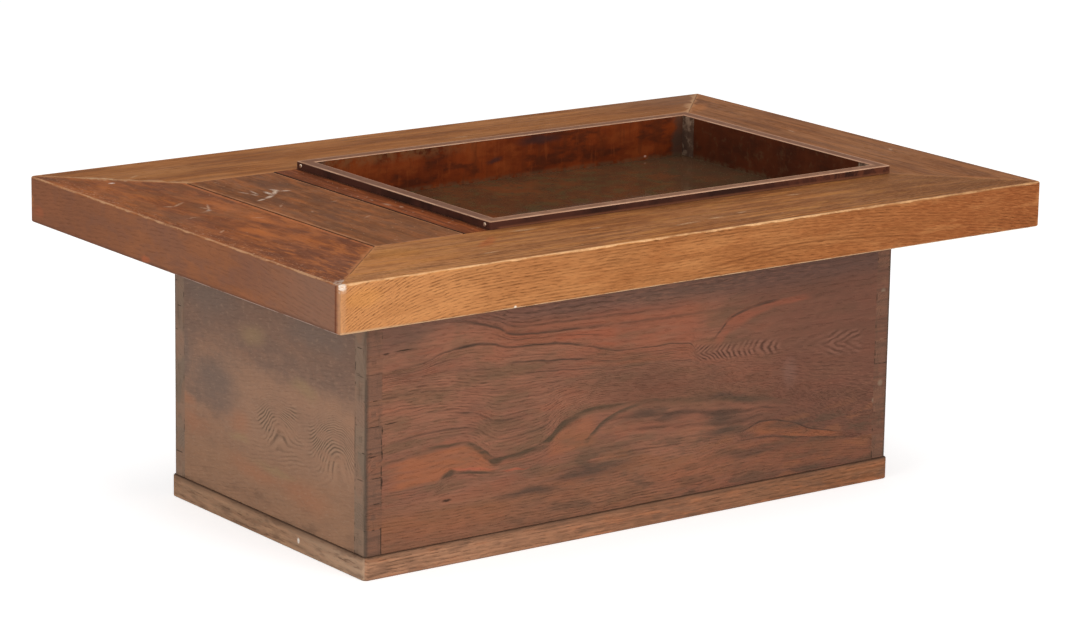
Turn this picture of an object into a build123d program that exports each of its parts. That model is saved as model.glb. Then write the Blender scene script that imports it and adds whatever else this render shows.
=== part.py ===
"""Hibachi brazier table: a low box hearth with a wide mitred top, a lift-off lid and a copper liner.

Frame: millimetres, +Z up, origin at the centre of the underside. X runs along the length with the
lid at -X, and the front is -Y.
"""
import os

from build123d import *

os.makedirs("parts", exist_ok=True)

# --- driving sizes -------------------------------------------------------------------------------

# the whole table
top_length = 910.0
top_width = 600.0
table_height = 345.0

# top frame
top_thickness = 50.0
top_corner_radius = 4.0
top_arris_radius = 2.2
opening_arris = 0.8
frame_seat = 5.0  # how far the top boards bear on the front, back and right walls
frame_seat_left = 12.0
top_key_thickness = 10.0
top_key_width = 40.0
top_key_length = 80.0

# box
box_length = 692.0
box_width = 368.0
wall_thickness = 19.0
finger_count = 10
box_corner_radius = 1.5
dado_depth = 6.0
coaming_thickness = 11.8  # the walls' rising edge, which passes through the top frame

# base frame
base_height = 25.0
base_projection = 3.0
base_rail_width = 45.0
base_corner_radius = 6.0
base_arris_radius = 2.0
base_key_thickness = 6.0
base_key_width = 16.0
base_key_length = 28.0

# utensil compartment and its lid
lid_opening = 110.0
lid_thickness = 18.0
lid_gap = 0.7
lid_arris = 0.8
cross_rail_width = 32.1
tenon_length = 25.0
tenon_thickness = 16.0
partition_thickness = 19.0
batten_height = 10.0
batten_width = 22.0
batten_inset = 14.0
batten_spacing = 220.0

# copper liner
rim_rise = 8.7
well_depth = 38.0
liner_sheet = 1.2
liner_clearance = 0.3
skirt_clearance = 0.4
rim_fold_radius = 1.0
rim_corner_radius = 2.0
flap_width = 20.0
flap_thickness = 0.8
rivet_radius = 1.1
rivet_head_radius = 2.2
rivet_head_height = 0.9
rivet_corner_distance = 9.0
rivet_clearance = 0.05

# floor of the box, and the hearth that carries the liner
bottom_thickness = 14.0
bottom_count = 5
bottom_clearance = 0.3
tongue_depth = 6.0
tongue_thickness = 4.5
tongue_clearance = 0.5
bearer_count = 3
bearer_width = 40.0
bearer_height = 30.0
bearer_housing = 8.0
hearth_count = 3
hearth_thickness = 12.0
hearth_clearance = 0.5
seat_clearance = 0.3

# pegs, all square in section
peg_size = 6.0
corner_peg_length = 45.0
frame_peg_grip = 20.0
frame_peg_height = 16.0
base_peg_grip = 20.0
base_peg_recess = 1.0
lid_peg_size = 4.0
lid_peg_length = 16.0
lid_peg_spacing = 46.0
long_side_peg_count = 3
short_side_peg_count = 2

# --- places worked out from the sizes ------------------------------------------------------------

half_length = box_length / 2
half_width = box_width / 2
inner_x = half_length - wall_thickness
inner_y = half_width - wall_thickness
end_wall_middle = half_length - wall_thickness / 2
side_wall_middle = half_width - wall_thickness / 2
frame_underside = table_height - top_thickness
wall_height = frame_underside - base_height
finger_height = wall_height / finger_count

# opening of the top frame
opening_left = frame_seat_left - half_length
opening_right = half_length - frame_seat
opening_side = half_width - frame_seat
cross_left = opening_left + lid_opening
cross_right = cross_left + cross_rail_width

# rising edge of the walls: the coaming round the hearth, and the lower ledge under the lid
rim_top = table_height + rim_rise
coaming_top = rim_top - liner_sheet - seat_clearance
coaming_y = opening_side - coaming_thickness
coaming_left = cross_right + coaming_thickness
coaming_right = opening_right - coaming_thickness
ledge_top = table_height - lid_thickness - seat_clearance

# hearth and floor
liner_floor = table_height - well_depth
hearth_top = liner_floor - liner_sheet - seat_clearance
bearer_top = hearth_top - hearth_thickness
bottom_top = base_height + bottom_thickness

# base frame
base_outer_x = half_length + base_projection
base_outer_y = half_width + base_projection
base_inner_x = base_outer_x - base_rail_width
base_inner_y = base_outer_y - base_rail_width

SIDES = (-1, 1)


def save(piece, node):
    """Label a finished piece and write its STEP file."""
    piece.part.label = node
    export_step(piece.part, f"parts/{node}.step")


def spread(start, stop, count):
    """Centres of equal bays between two ends."""
    bay = (stop - start) / count
    return [start + bay * (index + 0.5) for index in range(count)]


def slab(x_span, y_span, z_span, mode=Mode.ADD):
    """A rectangular block that fills three spans, added to or cut from the piece being made."""
    middle = Vector(*[(low + high) / 2 for low, high in (x_span, y_span, z_span)])
    size = [high - low for low, high in (x_span, y_span, z_span)]
    with Locations(middle):
        Box(*size, mode=mode)


def around(middle, size):
    """The span of a size about its middle."""
    return (middle - size / 2, middle + size / 2)


def mitre_lines(outer_x, outer_y, left, right, side):
    """Middle and direction in degrees of the four mitres of a rectangular frame."""
    lines = []
    for side_x, inner_x_end in ((-1, left), (1, right)):
        for side_y in SIDES:
            outer = Vector(side_x * outer_x, side_y * outer_y)
            inner = Vector(inner_x_end, side_y * side)
            run = outer - inner
            lines.append(((outer + inner) / 2, Vector(1, 0).get_signed_angle(run)))
    return lines


def mitred_outlines(outer_x, outer_y, left, right, side):
    """Outline of each of the four boards of a rectangular frame, by the side it lies on."""
    return {
        "front": ((-outer_x, -outer_y), (outer_x, -outer_y), (right, -side), (left, -side)),
        "back": ((-outer_x, outer_y), (outer_x, outer_y), (right, side), (left, side)),
        "left": ((-outer_x, -outer_y), (-outer_x, outer_y), (left, side), (left, -side)),
        "right": ((outer_x, -outer_y), (outer_x, outer_y), (right, side), (right, -side)),
    }


# --- pegs and keys, made first because the boards are cut to receive them ------------------------

# one peg through each finger of the box corners, into the edge of the other wall
with BuildPart() as corner_pegs:
    along = corner_peg_length / 2
    for finger in range(finger_count):
        peg_z = base_height + (finger + 0.5) * finger_height
        for side_x in SIDES:
            for side_y in SIDES:
                if finger % 2 == 1:
                    with Locations((side_x * end_wall_middle, side_y * (half_width - along), peg_z)):
                        Box(peg_size, corner_peg_length, peg_size)
                else:
                    with Locations((side_x * (half_length - along), side_y * side_wall_middle, peg_z)):
                        Box(corner_peg_length, peg_size, peg_size)
save(corner_pegs, "corner_pegs")

# pegs driven outwards through the rising edge of the walls into the top boards and the cross rail
with BuildPart() as frame_pegs:
    height_span = around(frame_underside + frame_peg_height, peg_size)
    lid_middle = (opening_left + cross_left) / 2
    for x in spread(coaming_left, coaming_right, long_side_peg_count) + [lid_middle]:
        slab(around(x, peg_size), (coaming_y, opening_side + frame_peg_grip), height_span)
        slab(around(x, peg_size), (-opening_side - frame_peg_grip, -coaming_y), height_span)
    for y in spread(-coaming_y, coaming_y, short_side_peg_count):
        slab((coaming_right, opening_right + frame_peg_grip), around(y, peg_size), height_span)
        slab((cross_right - frame_peg_grip, coaming_left), around(y, peg_size), height_span)
        slab((opening_left - frame_peg_grip, -inner_x), around(y, peg_size), height_span)
save(frame_pegs, "frame_pegs")

# pegs driven up through the base rails into the walls
with BuildPart() as base_pegs:
    height_span = (base_peg_recess, base_height + base_peg_grip)
    for side in SIDES:
        for x in spread(-inner_x, inner_x, long_side_peg_count):
            slab(around(x, peg_size), around(side * side_wall_middle, peg_size), height_span)
        for y in spread(-inner_y, inner_y, short_side_peg_count):
            slab(around(side * end_wall_middle, peg_size), around(y, peg_size), height_span)
save(base_pegs, "base_pegs")

# loose keys across the mitres of the top
with BuildPart() as top_keys:
    with BuildSketch(Plane.XY.offset(frame_underside + (top_thickness - top_key_thickness) / 2)):
        for middle, angle in mitre_lines(
            top_length / 2, top_width / 2, opening_left, opening_right, opening_side
        ):
            with Locations(middle):
                Rectangle(top_key_length, top_key_width, rotation=angle)
    extrude(amount=top_key_thickness)
save(top_keys, "top_keys")

# loose keys across the mitres of the base
with BuildPart() as base_keys:
    with BuildSketch(Plane.XY.offset((base_height - base_key_thickness) / 2)):
        for middle, angle in mitre_lines(
            base_outer_x, base_outer_y, -base_inner_x, base_inner_x, base_inner_y
        ):
            with Locations(middle):
                Rectangle(base_key_length, base_key_width, rotation=angle)
    extrude(amount=base_key_thickness)
save(base_keys, "base_keys")

# --- top frame -----------------------------------------------------------------------------------

# rail between the lid and the hearth, tenoned into the front and back boards
with BuildPart() as cross_rail:
    slab((cross_left, cross_right), (-opening_side, opening_side), (frame_underside, table_height))
    upper_edges = cross_rail.faces().sort_by(Axis.Z)[-1].edges().filter_by(Axis.Y)
    chamfer(upper_edges, length=opening_arris)
    tenon_reach = opening_side + tenon_length
    tenon_span = around(frame_underside + top_thickness / 2, tenon_thickness)
    slab((cross_left, cross_right), (-tenon_reach, tenon_reach), tenon_span)
    add(frame_pegs.part, mode=Mode.SUBTRACT)
save(cross_rail, "cross_rail")

# the four top boards as one frame, before the mitres part them
with BuildPart() as top_blank:
    with BuildSketch(Plane.XY.offset(frame_underside)):
        Rectangle(top_length, top_width)
        with Locations(((opening_left + opening_right) / 2, 0)):
            Rectangle(opening_right - opening_left, 2 * opening_side, mode=Mode.SUBTRACT)
    extrude(amount=top_thickness)
    upright_edges = top_blank.edges().filter_by(Axis.Z)
    fillet(upright_edges.filter_by(lambda edge: abs(edge.center().X) > half_length), top_corner_radius)
    chamfer(top_blank.faces().sort_by(Axis.Z)[-1].inner_wires()[0].edges(), length=opening_arris)
    upper_arris = top_blank.faces().sort_by(Axis.Z)[-1].outer_wire().edges()
    lower_arris = top_blank.faces().sort_by(Axis.Z)[0].outer_wire().edges()
    fillet(upper_arris + lower_arris, top_arris_radius)

for side, outline in mitred_outlines(
    top_length / 2, top_width / 2, opening_left, opening_right, opening_side
).items():
    with BuildPart() as top_board:
        add(top_blank.part)
        with BuildSketch(Plane.XY.offset(frame_underside)):
            with BuildLine():
                Polyline(*outline, close=True)
            make_face()
        extrude(amount=top_thickness, mode=Mode.INTERSECT)
        for insert in (top_keys, cross_rail, frame_pegs):
            add(insert.part, mode=Mode.SUBTRACT)
    save(top_board, f"top_{side}_board")

# --- hearth inside the box -----------------------------------------------------------------------

# wall between the utensil compartment and the hearth; its upper edge is the coaming's fourth side
with BuildPart() as partition:
    housed_y = inner_y + dado_depth
    panel_span = (coaming_left - partition_thickness, coaming_left)
    slab(panel_span, (-housed_y, housed_y), (bottom_top, frame_underside))
    slab((cross_right, coaming_left), (-coaming_y, coaming_y), (frame_underside, coaming_top))
    add(frame_pegs.part, mode=Mode.SUBTRACT)
save(partition, "partition")

# cross bearers let into the front and back walls
with BuildPart() as all_bearers:
    housed_y = inner_y + bearer_housing
    bearer_places = spread(coaming_left, inner_x, bearer_count)
    for x in bearer_places:
        slab(around(x, bearer_width), (-housed_y, housed_y), (bearer_top - bearer_height, bearer_top))
for number, solid in enumerate(all_bearers.solids().sort_by(Axis.X), start=1):
    with BuildPart() as bearer:
        add(solid)
    save(bearer, f"bearer_{number}")

# boards on the bearers, which carry the liner
hearth_pitch = 2 * inner_y / hearth_count
for number, y in enumerate(spread(-inner_y, inner_y, hearth_count), start=1):
    with BuildPart() as hearth_board:
        slab(
            (coaming_left + hearth_clearance, inner_x - hearth_clearance),
            around(y, hearth_pitch - hearth_clearance),
            (bearer_top, hearth_top),
        )
    save(hearth_board, f"hearth_board_{number}")

# --- box -----------------------------------------------------------------------------------------


def round_box_corners(wall):
    """Ease the outer upright edges at the corners of the box."""
    uprights = wall.edges().filter_by(Axis.Z)
    at_ends = uprights.filter_by(lambda edge: abs(edge.center().X) > half_length - peg_size / 2)
    outer = at_ends.filter_by(lambda edge: abs(edge.center().Y) > half_width - peg_size / 2)
    fillet(outer, box_corner_radius)


# front wall: odd fingers reach the corners, and the rising edge is low under the lid
with BuildPart() as front_wall:
    thickness_span = (-half_width, -inner_y)
    slab((-inner_x, inner_x), thickness_span, (base_height, frame_underside))
    for finger in range(1, finger_count, 2):
        finger_bottom = base_height + finger * finger_height
        finger_span = (finger_bottom, finger_bottom + finger_height)
        slab((-half_length, half_length), thickness_span, finger_span)
    round_box_corners(front_wall)
    slab((cross_right, opening_right), (-opening_side, -coaming_y), (frame_underside, coaming_top))
    slab((opening_left, cross_left), (-opening_side, -coaming_y), (frame_underside, ledge_top))
    for insert in (corner_pegs, frame_pegs, base_pegs, all_bearers, partition):
        add(insert.part, mode=Mode.SUBTRACT)
save(front_wall, "front_wall")

with BuildPart() as back_wall:
    mirror(front_wall.part, about=Plane.XZ)
save(back_wall, "back_wall")

# end walls: even fingers reach the corners; only their rising edges differ
for side, side_name in zip(SIDES, ("left", "right")):
    with BuildPart() as end_wall:
        thickness_span = sorted((side * inner_x, side * half_length))
        slab(thickness_span, (-inner_y, inner_y), (base_height, frame_underside))
        for finger in range(0, finger_count, 2):
            finger_bottom = base_height + finger * finger_height
            finger_span = (finger_bottom, finger_bottom + finger_height)
            slab(thickness_span, (-half_width, half_width), finger_span)
        round_box_corners(end_wall)
        if side_name == "left":
            slab((opening_left, -inner_x), (-coaming_y, coaming_y), (frame_underside, ledge_top))
        else:
            slab((coaming_right, opening_right), (-coaming_y, coaming_y), (frame_underside, coaming_top))
        for insert in (corner_pegs, frame_pegs, base_pegs):
            add(insert.part, mode=Mode.SUBTRACT)
    save(end_wall, f"{side_name}_wall")

# bottom boards across the width, tongued and grooved, lying on the base rails inside the walls
bottom_x = inner_x - bottom_clearance
bottom_y = inner_y - bottom_clearance
bottom_pitch = 2 * bottom_x / bottom_count
tongue_z = base_height + bottom_thickness / 2
for number, x in enumerate(spread(-bottom_x, bottom_x, bottom_count), start=1):
    with BuildPart() as bottom_board:
        right_edge = x + bottom_pitch / 2
        left_edge = x - bottom_pitch / 2
        slab((left_edge, right_edge), (-bottom_y, bottom_y), (base_height, bottom_top))
        if number < bottom_count:
            tongue_span = (right_edge, right_edge + tongue_depth)
            slab(tongue_span, (-bottom_y, bottom_y), around(tongue_z, tongue_thickness))
        if number > 1:
            groove_span = (left_edge, left_edge + tongue_depth + tongue_clearance)
            slab(groove_span, (-bottom_y, bottom_y), around(tongue_z, tongue_thickness), Mode.SUBTRACT)
    save(bottom_board, f"bottom_board_{number}")

# --- base frame ----------------------------------------------------------------------------------

with BuildPart() as base_blank:
    with BuildSketch():
        Rectangle(2 * base_outer_x, 2 * base_outer_y)
        Rectangle(2 * base_inner_x, 2 * base_inner_y, mode=Mode.SUBTRACT)
    extrude(amount=base_height)
    upright_edges = base_blank.edges().filter_by(Axis.Z)
    fillet(upright_edges.filter_by(lambda edge: abs(edge.center().X) > half_length), base_corner_radius)
    upper_arris = base_blank.faces().sort_by(Axis.Z)[-1].outer_wire().edges()
    lower_arris = base_blank.faces().sort_by(Axis.Z)[0].outer_wire().edges()
    fillet(upper_arris + lower_arris, base_arris_radius)

for side, outline in mitred_outlines(
    base_outer_x, base_outer_y, -base_inner_x, base_inner_x, base_inner_y
).items():
    with BuildPart() as base_rail:
        add(base_blank.part)
        with BuildSketch():
            with BuildLine():
                Polyline(*outline, close=True)
            make_face()
        extrude(amount=base_height, mode=Mode.INTERSECT)
        for insert in (base_keys, base_pegs):
            add(insert.part, mode=Mode.SUBTRACT)
    save(base_rail, f"base_{side}_rail")

# --- lid of the utensil compartment --------------------------------------------------------------

lid_left = opening_left + lid_gap
lid_right = cross_left - lid_gap
lid_y = opening_side - lid_gap
lid_x = (lid_left + lid_right) / 2
lid_underside = table_height - lid_thickness
batten_bottom = lid_underside - batten_height

# square pegs that hold the battens
with BuildPart() as lid_pegs:
    for y in (-batten_spacing / 2, batten_spacing / 2):
        for x in (lid_x - lid_peg_spacing / 2, lid_x + lid_peg_spacing / 2):
            height_span = (batten_bottom, batten_bottom + lid_peg_length)
            slab(around(x, lid_peg_size), around(y, lid_peg_size), height_span)
save(lid_pegs, "lid_pegs")

with BuildPart() as lid_board:
    slab((lid_left, lid_right), (-lid_y, lid_y), (lid_underside, table_height))
    fillet(lid_board.faces().sort_by(Axis.Z)[-1].edges(), lid_arris)
    add(lid_pegs.part, mode=Mode.SUBTRACT)
save(lid_board, "lid_board")

for side, side_name in zip(SIDES, ("front", "back")):
    with BuildPart() as lid_batten:
        slab(
            (lid_left + batten_inset, lid_right - batten_inset),
            around(side * batten_spacing / 2, batten_width),
            (batten_bottom, lid_underside),
        )
        add(lid_pegs.part, mode=Mode.SUBTRACT)
    save(lid_batten, f"lid_batten_{side_name}")

# --- copper liner --------------------------------------------------------------------------------

liner_left = coaming_left + liner_clearance
liner_right = coaming_right - liner_clearance
liner_y = coaming_y - liner_clearance
well_left = liner_left + liner_sheet
well_right = liner_right - liner_sheet
well_y = liner_y - liner_sheet
skirt_left = cross_right - liner_clearance
skirt_right = opening_right + liner_clearance
skirt_y = opening_side + liner_clearance
skirt_bottom = table_height + skirt_clearance
rivet_places = []
for side_x, face_x in ((-1, skirt_left - liner_sheet), (1, skirt_right + liner_sheet)):
    for side_y in SIDES:
        rivet_y = side_y * (skirt_y + liner_sheet - rivet_corner_distance)
        rivet_point = (face_x, rivet_y, (skirt_bottom + rim_top) / 2)
        rivet_places.append(Location(rivet_point, (0, side_x * 90, 0)))

# walls and floor, the flat rim laid over the coaming, and its edge turned down outside
with BuildPart() as liner:
    rim_x_span = (skirt_left - liner_sheet, skirt_right + liner_sheet)
    rim_y_span = (-skirt_y - liner_sheet, skirt_y + liner_sheet)
    slab(rim_x_span, rim_y_span, (skirt_bottom, rim_top))
    under_rim = (skirt_bottom, rim_top - liner_sheet)
    slab((skirt_left, skirt_right), (-skirt_y, skirt_y), under_rim, Mode.SUBTRACT)
    slab((liner_left, liner_right), (-liner_y, liner_y), (liner_floor - liner_sheet, rim_top))
    slab((well_left, well_right), (-well_y, well_y), (liner_floor, rim_top), Mode.SUBTRACT)
    upright_edges = liner.edges().filter_by(Axis.Z)
    rim_corners = upright_edges.filter_by(lambda edge: abs(edge.center().Y) > skirt_y + liner_sheet / 2)
    fillet(rim_corners, rim_corner_radius)
    rim_face = liner.faces().sort_by(Axis.Z)[-1]
    fillet(rim_face.outer_wire().edges() + rim_face.inner_wires()[0].edges(), rim_fold_radius)
    with Locations(*rivet_places):
        Cylinder(rivet_radius + rivet_clearance, 3 * liner_sheet, mode=Mode.SUBTRACT)
save(liner, "liner")

# folded flaps that close the liner's inner corners, lying against its end walls
with BuildPart() as liner_flaps:
    flap_span = (liner_floor, rim_top - liner_sheet)
    for side in SIDES:
        flap_y_span = sorted((side * well_y, side * (well_y - flap_width)))
        slab((well_left, well_left + flap_thickness), flap_y_span, flap_span)
        slab((well_right - flap_thickness, well_right), flap_y_span, flap_span)
save(liner_flaps, "liner_flaps")

# rivets near the corners of the rim's short sides
with BuildPart() as rivet:
    Cylinder(rivet_head_radius, rivet_head_height, align=(Align.CENTER, Align.CENTER, Align.MIN))
    fillet(rivet.faces().sort_by(Axis.Z)[-1].edges(), 0.8 * rivet_head_height)
    Cylinder(rivet_radius, liner_sheet, align=(Align.CENTER, Align.CENTER, Align.MAX))
with BuildPart() as liner_rivets:
    with Locations(*rivet_places):
        add(rivet.part)
save(liner_rivets, "liner_rivets")
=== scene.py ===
# %% [markdown]
# # A hibachi table, dressed
#
# The table is a low wooden box with a wide mitred top, a lift-off lid over a small compartment and
# a shallow copper liner for the fire. Its joinery comes from the packed model, where every board,
# peg and sheet is a solid of its own in metres. This lesson gives each of them the look of old,
# oiled, much used wood or of heat-darkened copper. Nothing here moves or resizes a board: a piece
# of joinery that has the right shape keeps it, and only its surface is made.

# %% Load the joinery
import math

import bpy
from mathutils import Matrix, Vector


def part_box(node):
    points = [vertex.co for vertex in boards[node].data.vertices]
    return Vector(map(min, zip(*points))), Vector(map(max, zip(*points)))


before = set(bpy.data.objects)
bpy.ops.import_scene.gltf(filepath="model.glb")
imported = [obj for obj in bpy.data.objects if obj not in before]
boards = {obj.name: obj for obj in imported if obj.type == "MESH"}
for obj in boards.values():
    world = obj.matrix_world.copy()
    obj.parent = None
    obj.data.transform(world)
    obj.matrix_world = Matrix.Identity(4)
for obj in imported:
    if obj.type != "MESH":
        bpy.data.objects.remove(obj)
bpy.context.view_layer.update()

# %% [markdown]
# ## The eye
#
# A low table is seen from a little above, from its front left corner, through a long lens, so that
# its edges stay nearly parallel. The place of the eye could be set by hand and aimed with a
# constraint, but three turns and a distance say it exactly: the turn round the table, the height
# above the floor line and a slight tilt of the head.

# %% Camera
turn, rise, tilt = (math.radians(angle) for angle in (-36.419, 13.744, 0.936))
aim_height, eye_distance, lens_length = 0.15167, 4.4713, 137.06
shift_right, shift_up = 0.004384, 0.043006
toward_eye = Vector((math.sin(turn) * math.cos(rise), -math.cos(turn) * math.cos(rise), math.sin(rise)))
level_right = Vector((math.cos(turn), math.sin(turn), 0))
level_up = toward_eye.cross(level_right)
eye_right = math.cos(tilt) * level_right + math.sin(tilt) * level_up
eye_up = math.cos(tilt) * level_up - math.sin(tilt) * level_right
eye_place = Vector((0, 0, aim_height)) + eye_distance * toward_eye
eye_place += shift_right * eye_right
eye_place += shift_up * eye_up

eye = bpy.data.objects.new("eye", bpy.data.cameras.new("eye"))
eye.data.lens = lens_length
eye_turn = Matrix((eye_right, eye_up, toward_eye)).transposed().to_4x4()
eye.matrix_world = Matrix.Translation(eye_place) @ eye_turn
bpy.context.scene.collection.objects.link(eye)
bpy.context.scene.camera = eye
print("eye at", [round(v, 3) for v in eye_place])

# %% [markdown]
# ## A pale room
#
# Old wood shows best in soft, even light. A wide lamp stands low before the long side, so that it
# reaches the box under the overhang, a weaker one stands before the lid end, and the pale room
# fills the rest. The floor takes the table's shadow, but it adds a glow of its own to the eye, so
# it looks white without more light falling on the wood.

# %% Floor, room and lamps
def soft_lamp(name, place, aim, size, power):
    """A square lamp that points at a place and spreads its light over a wide surface."""
    lamp = bpy.data.objects.new(name, bpy.data.lights.new(name, "AREA"))
    lamp.data.shape = "SQUARE"
    lamp.data.size = size
    lamp.data.energy = power
    lamp.location = place
    lamp.rotation_euler = (Vector(aim) - Vector(place)).to_track_quat("-Z", "Y").to_euler()
    bpy.context.scene.collection.objects.link(lamp)


def added(tree, kind, inputs=None, **settings):
    """The outputs of a new node; inputs says what each of its sockets holds or is joined to."""
    made = tree.nodes.new(kind)
    for key, value in settings.items():
        setattr(made, key, value)
    for key, value in (inputs or {}).items():
        if isinstance(value, bpy.types.NodeSocket):
            tree.links.new(value, made.inputs[key])
        else:
            made.inputs[key].default_value = value
    return made.outputs


soft_lamp("lamp_long_side", (0.4, -3.4, 0.75), (0.0, 0.0, 0.1), 1.4, 61)
soft_lamp("lamp_lid_end", (-3.0, -0.8, 0.8), (0.0, 0.0, 0.1), 1.5, 35)
soft_lamp("lamp_above", (0.0, -0.2, 3.2), (0.0, 0.0, 0.2), 2.6, 26)

floor_mesh = bpy.data.meshes.new("floor")
floor_mesh.from_pydata([(-9, -9, 0), (9, -9, 0), (9, 9, 0), (-9, 9, 0)], [], [(0, 1, 2, 3)])
floor = bpy.data.objects.new("floor", floor_mesh)
bpy.context.scene.collection.objects.link(floor)

floor_finish = bpy.data.materials.new("pale_floor")
floor_finish.use_nodes = True
tree = floor_finish.node_tree
tree.nodes.clear()
ray = added(tree, "ShaderNodeLightPath")
matt = added(tree, "ShaderNodeBsdfDiffuse", {"Color": (0.8, 0.8, 0.8, 1)})
no_glow = added(tree, "ShaderNodeEmission", {"Strength": 0.0})
glow = added(tree, "ShaderNodeEmission", {"Strength": 0.62})
glow_choice = added(tree, "ShaderNodeMixShader", {0: ray["Is Camera Ray"], 1: no_glow[0], 2: glow[0]})
floor_sum = added(tree, "ShaderNodeAddShader", {0: matt[0], 1: glow_choice[0]})
added(tree, "ShaderNodeOutputMaterial", {"Surface": floor_sum[0]})
floor_mesh.materials.append(floor_finish)

room = bpy.data.worlds.new("pale_room")
room.use_nodes = True
bpy.context.scene.world = room
tree = room.node_tree
tree.nodes.clear()
ray = added(tree, "ShaderNodeLightPath")
light = added(tree, "ShaderNodeBackground", {"Color": (1, 1, 1, 1), "Strength": 0.435})
seen = added(tree, "ShaderNodeBackground", {"Color": (1, 1, 1, 1)})
shows = added(tree, "ShaderNodeMath", {0: ray["Is Camera Ray"], 1: ray["Is Glossy Ray"]},
    operation="MAXIMUM")
room_choice = added(tree, "ShaderNodeMixShader", {0: shows[0], 1: light[0], 2: seen[0]})
added(tree, "ShaderNodeOutputWorld", {"Surface": room_choice[0]})
bpy.context.scene.view_settings.view_transform = "Standard"

# %% [markdown]
# ## Writing a finish as a recipe
#
# A finish here is worked out for each point of the solid, as real figure is: a board is a slice of
# a trunk, so its lines run on round every edge. A painted picture would need a map for each board
# and would break at the corners. The recipe below keeps one material's nodes together and gives
# short names to the few steps that wood and copper need. All its lengths are in millimetres.

# %% The recipe helper
class Recipe:
    """One material, with short names for the nodes that its finish is made of."""

    def __init__(self, name):
        self.material = bpy.data.materials.new(name)
        self.material.use_nodes = True
        self.tree = self.material.node_tree
        self.tree.nodes.clear()
        surface = self.tree.nodes.new("ShaderNodeTexCoord")
        self.place = self.scaled(surface.outputs["Object"], (1000, 1000, 1000))
        self.x, self.y, self.z = self.parts(self.place)
        self.faces = [self.size(part) for part in self.parts(surface.outputs["Normal"])]
        self.colour = None
        self.dents = []

    def node(self, kind, *inputs, **settings):
        made = self.tree.nodes.new(kind)
        for key, value in settings.items():
            setattr(made, key, value)
        for index, value in enumerate(inputs):
            if isinstance(value, bpy.types.NodeSocket):
                self.tree.links.new(value, made.inputs[index])
            elif value is not None:
                made.inputs[index].default_value = value
        return made

    def chain(self, kind, inputs):
        total = inputs[0]
        for value in inputs[1:]:
            total = self.node("ShaderNodeMath", total, value, operation=kind).outputs[0]
        return total

    def sum(self, *inputs):
        return self.chain("ADD", inputs)

    def times(self, *inputs):
        return self.chain("MULTIPLY", inputs)

    def most(self, *inputs):
        return self.chain("MAXIMUM", inputs)

    def least(self, *inputs):
        return self.chain("MINIMUM", inputs)

    def less(self, a, b):
        return self.chain("SUBTRACT", (a, b))

    def single(self, kind, a):
        return self.node("ShaderNodeMath", a, operation=kind).outputs[0]

    def size(self, a):
        return self.single("ABSOLUTE", a)

    def opposite(self, a):
        return self.less(1.0, a)

    def scaled(self, vector, factor):
        return self.node("ShaderNodeVectorMath", vector, factor, operation="MULTIPLY").outputs[0]

    def moved(self, vector, by):
        return self.node("ShaderNodeVectorMath", vector, by, operation="ADD").outputs[0]

    def parts(self, vector):
        return self.node("ShaderNodeSeparateXYZ", vector).outputs[:3]

    def point(self, x, y, z=0.0):
        return self.node("ShaderNodeCombineXYZ", x, y, z).outputs[0]

    def ramp(self, value, low, high, start=0.0, stop=1.0, smooth=True):
        """start where value is at or before low, stop where it is at or past high."""
        made = self.node("ShaderNodeMapRange", value, low, high, start, stop)
        made.interpolation_type = "SMOOTHSTEP" if smooth else "LINEAR"
        return made.outputs[0]

    def band(self, value, low, high, soft):
        """1 between low and high, falling to 0 within soft of them."""
        return self.times(self.ramp(value, low - soft, low), self.ramp(value, high + soft, high))

    def cloud(self, vector, grain=1.0, detail=2.0, rough=0.5):
        """Soft noise from 0 to 1 with features about one unit over grain wide."""
        made = self.node("ShaderNodeTexNoise", vector)
        made.inputs["Scale"].default_value = grain
        made.inputs["Detail"].default_value = detail
        made.inputs["Roughness"].default_value = rough
        return made.outputs[0]

    def stretched(self, grains, detail=4.0, rough=0.6):
        """Noise whose grain differs along the three axes."""
        return self.cloud(self.scaled(self.place, grains), 1.0, detail, rough)

    def flat(self, axes, grain=0.0, reach=0.0):
        """A drawing sheet across two axes; slow noise can bend it, so that shapes get a natural edge."""
        sheet = self.point(*(getattr(self, axis) for axis in axes))
        return self.wander(sheet, grain, reach) if reach else sheet

    def blend(self, amount, a, b):
        """The first colour where amount is 0 and the second where it is 1."""
        made = self.node("ShaderNodeMix", data_type="RGBA", clamp_factor=True)
        for socket, value in ((made.inputs[0], amount), (made.inputs[6], a), (made.inputs[7], b)):
            if isinstance(value, bpy.types.NodeSocket):
                self.tree.links.new(value, socket)
            else:
                socket.default_value = value if isinstance(value, (int, float)) else (*value, 1.0)
        return made.outputs[2]

    def where(self, *masks, **spans):
        """Masks as one; a span such as x=(60, 330) is a ramp from 0 to 1 between two places."""
        return self.times(*masks, *(self.ramp(getattr(self, axis), *span) for axis, span in spans.items()))

    def tint(self, colour, strength, *masks, **spans):
        """Lays one more colour over what is there, as thick as the strength and the masks say."""
        self.colour = self.blend(self.where(*masks, strength, **spans), self.colour, colour)

    def drawn_line(self, along, points):
        """The height of a line drawn through a few points (place along the board, height)."""
        places, heights = zip(*points)
        low, high = min(heights) - 1.0, max(heights) + 1.0
        share = self.ramp(along, places[0], places[-1], smooth=False)
        made = self.node("ShaderNodeFloatCurve", 1.0, share)
        knots = made.mapping.curves[0].points
        spots = [((place - places[0]) / (places[-1] - places[0]), (height - low) / (high - low))
                 for place, height in points]
        knots[0].location, knots[1].location = spots[0], spots[-1]
        for spot in spots[1:-1]:
            knots.new(*spot)
        made.mapping.update()
        return self.ramp(made.outputs[0], 0.0, 1.0, low, high, smooth=False)

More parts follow.
